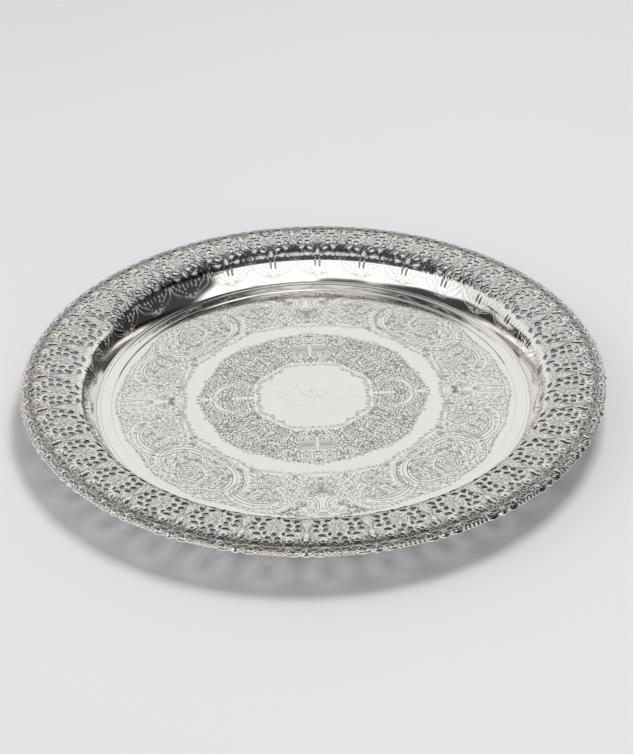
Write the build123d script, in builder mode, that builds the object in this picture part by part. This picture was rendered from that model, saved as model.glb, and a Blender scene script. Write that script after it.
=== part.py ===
"""A round offering plate in silver plate: an engraved well, a pierced border and a scalloped rim mount.

All lengths are in millimetres and all angles in degrees.  The plate stands on the XY plane, +Z is up,
and the origin is the middle of the underside of the well.
"""

import math
import os

from build123d import *

os.makedirs("parts", exist_ok=True)

# Well: the flat engraved floor and the polished step round it.
WELL_SHEET = 1.2
FLOOR_RADIUS = 138.8
STEP_WIDTH = 7.6
STEP_RISE = 1.4
LIP_MARGIN = 0.4

# Joint wire: a half-round wire that covers the joint between the well and the border.
WIRE_WIDTH = 2.4
WIRE_HEIGHT = 1.0
WIRE_SIDE = 0.4
WIRE_BEVEL = 0.6
WIRE_SETBACK = 0.3
WIRE_GAP = 0.2

# Border: a turned-out foot, a steep wall, a bend and a low crown, all of one sheet.
# It is drawn as two solids that meet in the middle of the bend.
BORDER_SHEET = 0.9
FOOT_LAP = 2.4
WALL_ANGLE = 63.0
WALL_LENGTH = 14.0
KNEE_RADIUS = 14.0
CROWN_START_ANGLE = 19.0
CROWN_END_ANGLE = 12.7
KNEE_SPLIT_ANGLE = 41.0

# Rim mount: a cast moulding soldered over the border's outer edge.
OVERALL_RADIUS = 200.0
MOUNT_WIDTH = 7.4
MOUNT_OVERHANG = 3.4
MOUNT_STAND = 0.9
MOUNT_DROP = 1.1
MOUNT_EDGE = 1.8
SOLDER_GAP = 0.05

# The pattern repeats round the border; each repeat is the same on both sides of its middle.
REPEATS = 29
BORDER_TURN = -0.8
PITCH = 360.0 / REPEATS
SCALLOPS_PER_REPEAT = 7
SCALLOP_DEPTH = 0.8
NOTCH_RADIUS = 1.6

# The piercings of one repeat: share of the pitch off the middle, length, width and slant, after
# their place.  The paired ones are cut twice, once on each side of the middle.
# In the wall, the place is a radius beyond the wall's top.
WALL_SLOTS = (
    (0.5, 0.050, 4.8, 0.9, 0),
)
# In the crown, the place runs from 0 at the middle of the bend to 1 at the mount.
CROWN_PAIRS = (
    (0.073, 0.216, 4.4, 2.0, 72),
    (0.226, 0.149, 3.8, 2.4, -50),
    (0.262, 0.332, 4.0, 1.8, 20),
    (0.397, 0.210, 4.0, 1.5, -14),
    (0.430, 0.355, 3.0, 1.4, 14),
    (0.550, 0.210, 4.0, 1.4, -12),
    (0.568, 0.347, 2.6, 1.9, -20),
    (0.682, 0.141, 2.6, 1.3, -10),
    (0.790, 0.266, 3.6, 1.2, 84),
    (0.820, 0.068, 2.4, 1.2, 75),
)
CROWN_MIDDLES = (
    (0.112, 0, 5.6, 1.8, 0),
    (0.700, 0, 3.0, 2.2, 0),
)

# Radii and heights that follow from the sizes above.
step_radius = FLOOR_RADIUS + STEP_WIDTH
lip_top = WELL_SHEET + STEP_RISE
wire_inner = step_radius + WIRE_SETBACK
foot_radius = wire_inner + WIRE_WIDTH + WIRE_GAP
foot_edge = foot_radius + BORDER_SHEET + FOOT_LAP
lip_radius = foot_edge + LIP_MARGIN
mount_inner = OVERALL_RADIUS - MOUNT_WIDTH
border_edge = OVERALL_RADIUS - MOUNT_OVERHANG

# The well, drawn as half of its section and spun round the middle.
with BuildPart() as well_plate:
    with BuildSketch(Plane.XZ):
        with BuildLine():
            Spline(
                (FLOOR_RADIUS, WELL_SHEET),
                (step_radius, lip_top),
                tangents=[(1, 0), (1, 0)],
            )
            Polyline(
                (step_radius, lip_top),
                (lip_radius, lip_top),
                (lip_radius, STEP_RISE),
                (step_radius, STEP_RISE),
            )
            Spline(
                (step_radius, STEP_RISE),
                (FLOOR_RADIUS, 0),
                tangents=[(-1, 0), (-1, 0)],
            )
            Polyline(
                (FLOOR_RADIUS, 0),
                (0, 0),
                (0, WELL_SHEET),
                (FLOOR_RADIUS, WELL_SHEET),
            )
        make_face()
    revolve(axis=Axis.Z)

# The wire, flat side down on the well's lip, with its round top drawn as three flats.
with BuildPart() as joint_wire:
    with BuildSketch(Plane.XZ):
        with BuildLine():
            Polyline(
                (wire_inner, lip_top),
                (wire_inner + WIRE_WIDTH, lip_top),
                (wire_inner + WIRE_WIDTH, lip_top + WIRE_SIDE),
                (wire_inner + WIRE_WIDTH - WIRE_BEVEL, lip_top + WIRE_HEIGHT),
                (wire_inner + WIRE_BEVEL, lip_top + WIRE_HEIGHT),
                (wire_inner, lip_top + WIRE_SIDE),
                close=True,
            )
        make_face()
    revolve(axis=Axis.Z)

# The border's section: its wall, the bend above it and the crown, which spans what is left.
wall_tilt = math.radians(WALL_ANGLE)
crown_tilt = math.radians(CROWN_START_ANGLE)
wall_top_r = foot_radius + WALL_LENGTH * math.cos(wall_tilt)
wall_top_z = lip_top + WALL_LENGTH * math.sin(wall_tilt)
knee_centre_r = wall_top_r + KNEE_RADIUS * math.sin(wall_tilt)
knee_centre_z = wall_top_z - KNEE_RADIUS * math.cos(wall_tilt)
knee_end_r = knee_centre_r - KNEE_RADIUS * math.sin(crown_tilt)
knee_end_z = knee_centre_z + KNEE_RADIUS * math.cos(crown_tilt)
split_tilt = math.radians(KNEE_SPLIT_ANGLE)
split_r = knee_centre_r - KNEE_RADIUS * math.sin(split_tilt)
crown_spread = math.sin(crown_tilt) + math.sin(math.radians(CROWN_END_ANGLE))
crown_radius = (border_edge - knee_end_r) / crown_spread
crown_centre_r = knee_end_r + crown_radius * math.sin(crown_tilt)
crown_centre_z = knee_end_z - crown_radius * math.cos(crown_tilt)


def crown_height(radius, lift=0.0):
    """Height of the crown's arc at a radius, for an arc that stands off the border's face by lift."""
    reach = radius - crown_centre_r
    return crown_centre_z + math.sqrt((crown_radius + lift) ** 2 - reach**2)


def crown_point(radius, lift=0.0):
    """A point of the crown's arc as (radius, height)."""
    return (radius, crown_height(radius, lift))


def crown_arc(start_radius, end_radius, lift=0.0):
    """The crown's arc between two radii."""
    middle_radius = (start_radius + end_radius) / 2
    return ThreePointArc(
        crown_point(start_radius, lift),
        crown_point(middle_radius, lift),
        crown_point(end_radius, lift),
    )


def knee_arc(start_tilt, end_tilt, lift=0.0):
    """The bend's arc between two slopes, standing off the border's face by lift."""
    points = []
    for tilt in (start_tilt, (start_tilt + end_tilt) / 2, end_tilt):
        reach = KNEE_RADIUS + lift
        points.append(
            (knee_centre_r - reach * math.sin(tilt), knee_centre_z + reach * math.cos(tilt))
        )
    return ThreePointArc(*points)


def pierced_slot(radius, off_middle, length, width, slant):
    """One round-ended piercing at a radius, off the middle of its repeat by a share of the pitch."""
    place = Rot(0, 0, off_middle * PITCH) * Pos(radius, 0, 0) * Rot(0, 0, slant)
    return place * SlotOverall(length, width, mode=Mode.PRIVATE)


def all_round(middles, pairs):
    """The middle slots and both sides of the paired ones, in every repeat."""
    slots = list(middles)
    for radius, off_middle, length, width, slant in pairs:
        for side in (-1, 1):
            slots.append((radius, side * off_middle, length, width, side * slant))
    turns = [Rot(0, 0, BORDER_TURN + repeat * PITCH) for repeat in range(REPEATS)]
    return [turn * pierced_slot(*slot) for turn in turns for slot in slots]


def across_crown(slots):
    """The same slots with their place across the crown turned into a radius."""
    return [(split_r + slot[0] * (mount_inner - split_r), *slot[1:]) for slot in slots]


# The foot, the wall and the lower half of the bend, with the slots in pairs near the wall's top.
with BuildPart() as border_wall:
    with BuildSketch(Plane.XZ):
        with BuildLine():
            wall_face = Line((foot_radius, lip_top), (wall_top_r, wall_top_z))
            low_bend = knee_arc(wall_tilt, split_tilt)
            low_bend_under = knee_arc(split_tilt, wall_tilt, -BORDER_SHEET)
            Line(low_bend @ 1, low_bend_under @ 0)
            bend_drop = (low_bend_under @ 1).Y - lip_top - BORDER_SHEET
            bend_radius = (low_bend_under @ 1).X - bend_drop / math.tan(wall_tilt)
            Polyline(
                low_bend_under @ 1,
                (bend_radius, lip_top + BORDER_SHEET),
                (foot_edge, lip_top + BORDER_SHEET),
                (foot_edge, lip_top),
                wall_face @ 0,
            )
        make_face()
    revolve(axis=Axis.Z)
    with BuildSketch(Plane.XY.offset(lip_top)):
        add(all_round((), [(wall_top_r + slot[0], *slot[1:]) for slot in WALL_SLOTS]))
    extrude(amount=crown_radius, mode=Mode.SUBTRACT)

# The upper half of the bend and the crown, with every other piercing cut straight down through it.
with BuildPart() as pierced_crown:
    with BuildSketch(Plane.XZ):
        with BuildLine():
            high_bend = knee_arc(split_tilt, crown_tilt)
            crown_face = crown_arc((high_bend @ 1).X, border_edge)
            crown_under = crown_arc(
                crown_centre_r - (crown_radius - BORDER_SHEET) * math.sin(crown_tilt),
                border_edge,
                -BORDER_SHEET,
            )
            high_bend_under = knee_arc(crown_tilt, split_tilt, -BORDER_SHEET)
            Line(high_bend_under @ 1, high_bend @ 0)
            Line(crown_face @ 1, crown_under @ 1)
        make_face()
    revolve(axis=Axis.Z)
    with BuildSketch(Plane.XY.offset(lip_top)):
        add(all_round(across_crown(CROWN_MIDDLES), across_crown(CROWN_PAIRS)))
    extrude(amount=crown_radius, mode=Mode.SUBTRACT)

# The rim mount: it laps over the border's edge, stands a little proud and turns down outside it.
with BuildPart() as rim_mount:
    with BuildSketch(Plane.XZ):
        with BuildLine():
            seat = crown_arc(mount_inner, border_edge + SOLDER_GAP, SOLDER_GAP)
            drop_z = (seat @ 1).Y - BORDER_SHEET - MOUNT_DROP
            bevel = MOUNT_EDGE / 3
            Polyline(
                seat @ 1,
                ((seat @ 1).X, drop_z),
                (OVERALL_RADIUS - bevel, drop_z),
                (OVERALL_RADIUS, drop_z + bevel),
                (OVERALL_RADIUS, drop_z + 2 * bevel),
                (OVERALL_RADIUS - bevel, drop_z + 3 * bevel),
                (border_edge, crown_height(border_edge) + MOUNT_STAND),
                (mount_inner + MOUNT_STAND, crown_height(mount_inner) + MOUNT_STAND),
                seat @ 0,
            )
        make_face()
    revolve(axis=Axis.Z)
    with BuildSketch(Plane.XY):
        with PolarLocations(
            OVERALL_RADIUS + NOTCH_RADIUS - SCALLOP_DEPTH,
            REPEATS * SCALLOPS_PER_REPEAT,
            start_angle=BORDER_TURN,
        ):
            Circle(NOTCH_RADIUS)
    extrude(amount=crown_height(mount_inner) + KNEE_RADIUS, mode=Mode.SUBTRACT)

well_plate.part.label = "well_plate"
joint_wire.part.label = "joint_wire"
border_wall.part.label = "border_wall"
pierced_crown.part.label = "pierced_crown"
rim_mount.part.label = "rim_mount"

export_step(well_plate.part, "parts/well_plate.step")
export_step(joint_wire.part, "parts/joint_wire.step")
export_step(border_wall.part, "parts/border_wall.step", write_pcurves=False)
export_step(pierced_crown.part, "parts/pierced_crown.step", write_pcurves=False)
export_step(rim_mount.part, "parts/rim_mount.step", write_pcurves=False)
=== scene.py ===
"""Dresses the offering plate: silver finishes, pierced and chased border, engraved well and studio.

Lengths inside the classes are in millimetres and turn into metres when a mesh is made.
"""

from __future__ import annotations

import logging
import math
import random
from dataclasses import dataclass, field
from enum import Enum
from typing import Callable, Iterable, Sequence

import bpy
import numpy as np
from mathutils import Matrix, Vector
from mathutils.geometry import delaunay_2d_cdt


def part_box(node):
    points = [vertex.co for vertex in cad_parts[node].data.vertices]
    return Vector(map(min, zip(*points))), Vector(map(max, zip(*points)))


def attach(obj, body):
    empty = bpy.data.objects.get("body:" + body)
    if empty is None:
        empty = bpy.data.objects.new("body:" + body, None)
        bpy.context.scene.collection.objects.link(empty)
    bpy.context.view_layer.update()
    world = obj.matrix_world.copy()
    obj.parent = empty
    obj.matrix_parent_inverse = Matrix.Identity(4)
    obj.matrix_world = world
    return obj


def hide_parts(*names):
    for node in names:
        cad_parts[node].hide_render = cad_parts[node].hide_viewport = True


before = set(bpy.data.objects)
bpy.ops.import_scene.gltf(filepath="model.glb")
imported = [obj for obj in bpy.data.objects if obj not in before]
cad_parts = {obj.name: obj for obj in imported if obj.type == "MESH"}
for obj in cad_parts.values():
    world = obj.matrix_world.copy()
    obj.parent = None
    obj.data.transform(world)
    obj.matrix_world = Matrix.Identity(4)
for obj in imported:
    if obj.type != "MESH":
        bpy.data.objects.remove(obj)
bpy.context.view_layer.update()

MM = 0.001
TURN = 2.0 * math.pi
CURL_STEPS = 22        # points in one turn of a curl
CURL_TIGHTENS = 0.72   # the share of its radius that a curl loses by its end
MARKS_AT_ONCE = 400    # marks that distances are measured to in one go, to save memory
REPEATS_PER_SHEET = 6  # repeats of the border that one of its pieces holds
LOG = logging.getLogger("offering_plate")

Point = tuple[float, float]


# ---------------------------------------------------------------------------------------------
# Small geometry helpers
# ---------------------------------------------------------------------------------------------


def smooth_path(points: Sequence[Point], step: float = 0.7) -> np.ndarray:
    """Draws a flowing line through a few chosen points.

    Args:
        points: The points that the line passes through, in order.
        step: The distance between the points of the finished line.

    Returns:
        The line as an array of points.
    """
    knots = np.array(points, float)
    if len(knots) < 3:
        count = max(3, int(np.ceil(np.linalg.norm(knots[-1] - knots[0]) / step)) + 1)
        share = np.linspace(0.0, 1.0, count)[:, None]
        return knots[0] * (1 - share) + knots[-1] * share
    padded = np.vstack([2 * knots[0] - knots[1], knots, 2 * knots[-1] - knots[-2]])
    pieces = []
    for i in range(1, len(padded) - 2):
        a, b, c, d = padded[i - 1 : i + 3]
        count = max(2, int(np.ceil(np.linalg.norm(c - b) / step)))
        t = np.linspace(0.0, 1.0, count, endpoint=False)[:, None]
        pieces.append(
            0.5 * (2 * b + (c - a) * t + (2 * a - 5 * b + 4 * c - d) * t**2
                   + (3 * b - a - 3 * c + d) * t**3)
        )
    pieces.append(knots[-1:])
    return np.vstack(pieces)


def side_normals(path: np.ndarray) -> np.ndarray:
    """Finds the unit normals to the left of each point of a line.

    Args:
        path: The line's points.

    Returns:
        One normal for each point.
    """
    along = np.gradient(path, axis=0)
    along /= np.maximum(np.linalg.norm(along, axis=1, keepdims=True), 1e-9)
    return np.stack([-along[:, 1], along[:, 0]], axis=1)


def offset_path(path: np.ndarray, distance: float | np.ndarray) -> np.ndarray:
    """The same line moved to its left by a distance, or by one distance per point."""
    reach = np.broadcast_to(np.asarray(distance, float), (len(path),))
    return path + side_normals(path) * reach[:, None]


def curl_from(path: np.ndarray, radius: float, turns: float, side: int) -> np.ndarray:
    """Draws the spiral that winds up to one side from a line's end.

    Args:
        path: The line whose end the spiral starts from.
        radius: The radius at which the spiral starts.
        turns: How many turns it winds.
        side: 1 to wind to the left, -1 to the right.

    Returns:
        The spiral alone, starting at the line's end.
    """
    heading = path[-1] - path[-2]
    angle = math.atan2(heading[1], heading[0])
    steps = max(8, int(turns * CURL_STEPS))
    place = path[-1].copy()
    points = [place.copy()]
    for i in range(steps):
        tight = radius * (1.0 - CURL_TIGHTENS * i / steps)
        swing = turns * TURN / steps
        angle += side * swing
        place = place + tight * swing * np.array([math.cos(angle), math.sin(angle)])
        points.append(place.copy())
    return np.array(points)


def polar(radius: float, degrees: float) -> Point:
    """A point from its radius and its angle."""
    return (radius * math.cos(math.radians(degrees)), radius * math.sin(math.radians(degrees)))


def on_diagonal(across: float, out: float) -> Point:
    """A point given across and along the line at 45 degrees between two axes."""
    half = math.sqrt(0.5)
    return ((out - across) * half, (out + across) * half)


def drop_outline(length: float, width: float, bend: float, skew: float, count: int = 16) -> np.ndarray:
    """The outline of a punched drop or crescent, pointing along its first axis.

    Args:
        length: Its length.
        width: Its largest width.
        bend: How far the middle is pushed sideways, which makes a crescent.
        skew: Above 1 moves the widest place towards the far end, below 1 to the near end.
        count: How many points the outline has.

    Returns:
        The closed outline without its first point repeated.
    """
    half = count // 2
    share = np.linspace(0.0, 1.0, half + 1)
    spine_x = (share - 0.5) * length
    spine_y = bend * (1.0 - (2.0 * share - 1.0) ** 2)
    swell = width / 2 * np.clip(np.sin(math.pi * share**skew), 0.0, 1.0) ** 0.55
    swell[0] = swell[-1] = 0.0
    top = np.stack([spine_x, spine_y + swell], 1)
    low = np.stack([spine_x, spine_y - swell], 1)[::-1]
    return np.vstack([top[:-1], low[:-1]])


def turned(points: np.ndarray, degrees: float) -> np.ndarray:
    """Points turned about the origin."""
    c, s = math.cos(math.radians(degrees)), math.sin(math.radians(degrees))
    return points @ np.array([[c, s], [-s, c]])


def near_distance(places: np.ndarray, marks: np.ndarray) -> np.ndarray:
    """Measures how far each place is from the nearest of some marks.

    Args:
        places: The places.
        marks: The marks.

    Returns:
        One distance for each place.
    """
    best = np.full(len(places), 1e9)
    for start in range(0, len(marks), MARKS_AT_ONCE):
        gap = places[:, None, :] - marks[None, start : start + MARKS_AT_ONCE, :]
        best = np.minimum(best, np.sqrt((gap**2).sum(2)).min(1))
    return best


def ridge(distance: np.ndarray, width: float) -> np.ndarray:
    """A soft ridge: 1 on its line, and almost 0 at twice its width from it."""
    return np.exp(-(distance / width) ** 2)


def fade(beyond: np.ndarray, width: float) -> np.ndarray:
    """Rises from 0 to 1 over a width, given how far beyond its start each place lies."""
    return np.clip(beyond / width, 0, 1)


def arc_length(degrees: np.ndarray, radius: float | np.ndarray) -> np.ndarray:
    """The length of an arc from its angle and its radius."""
    return degrees * math.pi / 180 * radius


def make_piece(name: str, points: np.ndarray, faces: Sequence[Sequence[int]],
               hollow: np.ndarray | None = None) -> bpy.types.Object:
    """Makes a mesh piece from points in millimetres.

    Args:
        name: The piece's name.
        points: Its points.
        faces: Its faces, as lists of point numbers.
        hollow: How deep in a hollow each point lies, from 0 to 1, for the tarnish.

    Returns:
        The new object, at the origin.
    """
    mesh = bpy.data.meshes.new(name)
    mesh.from_pydata((points * MM).tolist(), [], faces)
    mesh.update()
    if hollow is not None:
        layer = mesh.attributes.new("hollow", "FLOAT", "POINT")
        layer.data.foreach_set("value", hollow.astype(np.float32))
    piece = bpy.data.objects.new(name, mesh)
    bpy.context.scene.collection.objects.link(piece)
    return piece


def only(piece: bpy.types.Object) -> None:
    """Selects one object alone and makes it the active one.

    Args:
        piece: The object.
    """
    bpy.ops.object.select_all(action="DESELECT")
    piece.select_set(True)
    bpy.context.view_layer.objects.active = piece


def spin_section(name: str, section: Sequence[Point], steps: int = 256,
                 closed: bool = False) -> bpy.types.Object:
    """Spins a half section round the plate's axis.

    Args:
        name: The new piece's name.
        section: Points as (radius, height) in millimetres.
        steps: How many steps the full turn is made in.
        closed: Whether the section's last point joins its first.

    Returns:
        The spun piece, with its doubles merged and its normals outwards.
    """
    places = np.array([(r, 0.0, z) for r, z in section], float)
    mesh = bpy.data.meshes.new(name)
    edges = [(i, i + 1) for i in range(len(places) - 1)]
    if closed:
        edges.append((len(places) - 1, 0))
    mesh.from_pydata((places * MM).tolist(), edges, [])
    piece = bpy.data.objects.new(name, mesh)
    bpy.context.scene.collection.objects.link(piece)
    only(piece)
    bpy.ops.object.mode_set(mode="EDIT")
    bpy.ops.mesh.select_all(action="SELECT")
    bpy.ops.mesh.spin(steps=steps, angle=TURN, center=(0, 0, 0), axis=(0, 0, 1))
    bpy.ops.mesh.select_all(action="SELECT")
    bpy.ops.mesh.remove_doubles(threshold=1e-6)
    bpy.ops.mesh.normals_make_consistent(inside=False)
    bpy.ops.object.mode_set(mode="OBJECT")
    return piece


def settle(piece: bpy.types.Object, finish: bpy.types.Material, angle: float = 35.0,
           more: Sequence[bpy.types.Material] = ()) -> None:
    """Shades a finished piece, gives it its finishes and fixes it to the plate.

    Args:
        piece: The finished piece.
        finish: Its finish.
        angle: The largest angle, in degrees, that is shaded smooth.
        more: The finishes of the sheet's back and of the sides of its openings, the latter a near-black
            painted shade.
    """
    only(piece)
    bpy.ops.object.shade_smooth_by_angle(angle=math.radians(angle))
    for number, kept in enumerate([finish, *more]):
        if number < len(piece.data.materials):
            piece.data.materials[number] = kept
        else:
            piece.data.materials.append(kept)
    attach(piece, "root")
    LOG.info("%s: %d faces", piece.name, len(piece.data.polygons))


# ---------------------------------------------------------------------------------------------
# Finishes
# ---------------------------------------------------------------------------------------------


class NodeBoard:
    """Adds the nodes of one material or world and links them."""

    def __init__(self, owner: bpy.types.Material | bpy.types.World) -> None:
        """Turns the owner's nodes on and adds the one that gives coordinates.

        Args:
            owner: The material or world.
        """
        owner.use_nodes = True
        self.nodes, self.links = owner.node_tree.nodes, owner.node_tree.links
        self.place = self.nodes.new("ShaderNodeTexCoord")

    def feed(self, socket: bpy.types.NodeSocket, value: object) -> None:
        """Links a socket to another one, or sets its value."""
        if isinstance(value, bpy.types.NodeSocket):
            self.links.new(value, socket)
        else:
            socket.default_value = value

    def noise(self, where: bpy.types.NodeSocket, scale: float,
              detail: float | None = None) -> bpy.types.NodeSocket:
        """Adds a noise texture.

        Args:
            where: The coordinates it is laid out on.
            scale: Its scale.
            detail: How many finer layers it has, or None for the usual number.

        Returns:
            Its level.
        """
        node = self.nodes.new("ShaderNodeTexNoise")
        node.inputs["Scale"].default_value = scale
        if detail is not None:
            node.inputs["Detail"].default_value = detail
        self.links.new(where, node.inputs["Vector"])
        return node.outputs["Fac"]

    def combine(self, operation: str, *terms: object) -> bpy.types.NodeSocket:
        """Combines sockets and numbers by one operation.

        Args:
            operation: The operation's name.
            terms: The sockets and numbers, in the operation's order.

        Returns:
            The result.
        """
        node = self.nodes.new("ShaderNodeMath")
        node.operation = operation
        for socket, term in zip(node.inputs, terms):
            self.feed(socket, term)
        return node.outputs["Value"]

    def spread(self, value: bpy.types.NodeSocket, low: float, high: float, start: float, end: float,
               smooth: bool = False) -> bpy.types.NodeSocket:
        """Maps a value from one range to another.

        Args:
            value: The value.
            low: Where the first range starts.
            high: Where the first range ends.
            start: What the low end becomes.
            end: What the high end becomes.
            smooth: Whether the change starts and ends gently.

        Returns:
            The mapped value.
        """
        node = self.nodes.new("ShaderNodeMapRange")
        if smooth:
            node.interpolation_type = "SMOOTHSTEP"
        for name, number in (("From Min", low), ("From Max", high), ("To Min", start), ("To Max", end)):
            node.inputs[name].default_value = number
        self.links.new(value, node.inputs["Value"])
        return node.outputs["Result"]

    def blend(self, share: bpy.types.NodeSocket, first: object, second: object) -> bpy.types.NodeSocket:
        """Blends two colours.

        Args:
            share: The share of the second colour.
            first: The first colour, or a socket that gives it.
            second: The second colour, or a socket that gives it.

        Returns:
            The blended colour.
        """
        node = self.nodes.new("ShaderNodeMix")
        node.data_type = "RGBA"
        for name, value in (("Factor", share), ("A", first), ("B", second)):
            self.feed(node.inputs[name], value)
        return node.outputs["Result"]

class Wear(Enum):
    """How a silver surface has been used."""

    POLISHED = "polished"
    RUBBED = "rubbed"
    CHASED = "chased"


@dataclass(frozen=True)
class SilverFinish:
    """Silver plate with fine scratches, a breath of haze and tarnish in its hollows."""

    name: str
    colour: tuple[float, float, float]
    roughness: float
    wear: Wear
    tarnish: tuple[float, float, float] = (0.13, 0.115, 0.10)
    scratch_depth: float = 0.03

    def material(self) -> bpy.types.Material:
        """Builds the node material.

        Returns:
            The material.
        """
        material = bpy.data.materials.new(self.name)
        board = NodeBoard(material)
        where = board.place.outputs["Object"]
        shader = board.nodes["Principled BSDF"]
        shader.inputs["Metallic"].default_value = 1.0

        haze = board.noise(where, 28.0, 5.0)
        rough = board.spread(haze, 0.3, 0.7, self.roughness * 0.75, self.roughness * 1.35)
        warmer = (*[c * 0.95 for c in self.colour[:2]], self.colour[2] * 0.91, 1.0)
        colour = board.blend(haze, (*self.colour, 1.0), warmer)

        if self.wear is Wear.CHASED:
            hollow = board.nodes.new("ShaderNodeAttribute")
            hollow.attribute_name = "hollow"
            grime = board.noise(where, 420.0, 3.0)
            uneven = board.combine("MULTIPLY_ADD", grime, 0.55, hollow.outputs["Fac"])
            amount = board.spread(uneven, 0.42, 1.15, 0.0, 0.92)
            colour = board.blend(amount, colour, (*self.tarnish, 1.0))
            rough = board.combine("MULTIPLY_ADD", amount, 0.25, rough)
        board.feed(shader.inputs["Base Color"], colour)
        board.feed(shader.inputs["Roughness"], rough)

        if self.wear is Wear.RUBBED:
            stretch = board.nodes.new("ShaderNodeMapping")
            stretch.inputs["Scale"].default_value = (1.0, 6.0, 1.0)
            stretch.inputs["Rotation"].default_value = (0.0, 0.0, 0.6)
            board.links.new(where, stretch.inputs["Vector"])
            scratches = board.noise(stretch.outputs["Vector"], 240.0, 4.0)
        else:
            scratches = board.noise(where, 900.0, 4.0)
        bump = board.nodes.new("ShaderNodeBump")
        bump.inputs["Strength"].default_value = 0.25
        bump.inputs["Distance"].default_value = self.scratch_depth * MM
        board.links.new(scratches, bump.inputs["Height"])
        board.links.new(bump.outputs["Normal"], shader.inputs["Normal"])
        return material


@dataclass(frozen=True)
class CutFinish:
    """The inside of an engraved line, where tarnish stays; in near-black it is also the painted shade on the
    sides of the border's openings.
    """

    name: str
    colour: tuple[float, float, float]
    roughness: float = 0.45

    def material(self) -> bpy.types.Material:
        """Builds the node material.

        Returns:
            The material.
        """
        material = bpy.data.materials.new(self.name)
        board = NodeBoard(material)
        shader = board.nodes["Principled BSDF"]
        shader.inputs["Metallic"].default_value = 0.85
        shader.inputs["Roughness"].default_value = self.roughness
        dark = (*[c * 0.7 for c in self.colour], 1.0)
        light = (*[min(1.0, c * 1.45) for c in self.colour], 1.0)
        patches = board.noise(board.place.outputs["Object"], 22.0, 6.0)
        board.feed(shader.inputs["Base Color"], board.blend(patches, dark, light))
        return material


# ---------------------------------------------------------------------------------------------
# The engraver's tool
# ---------------------------------------------------------------------------------------------


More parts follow.
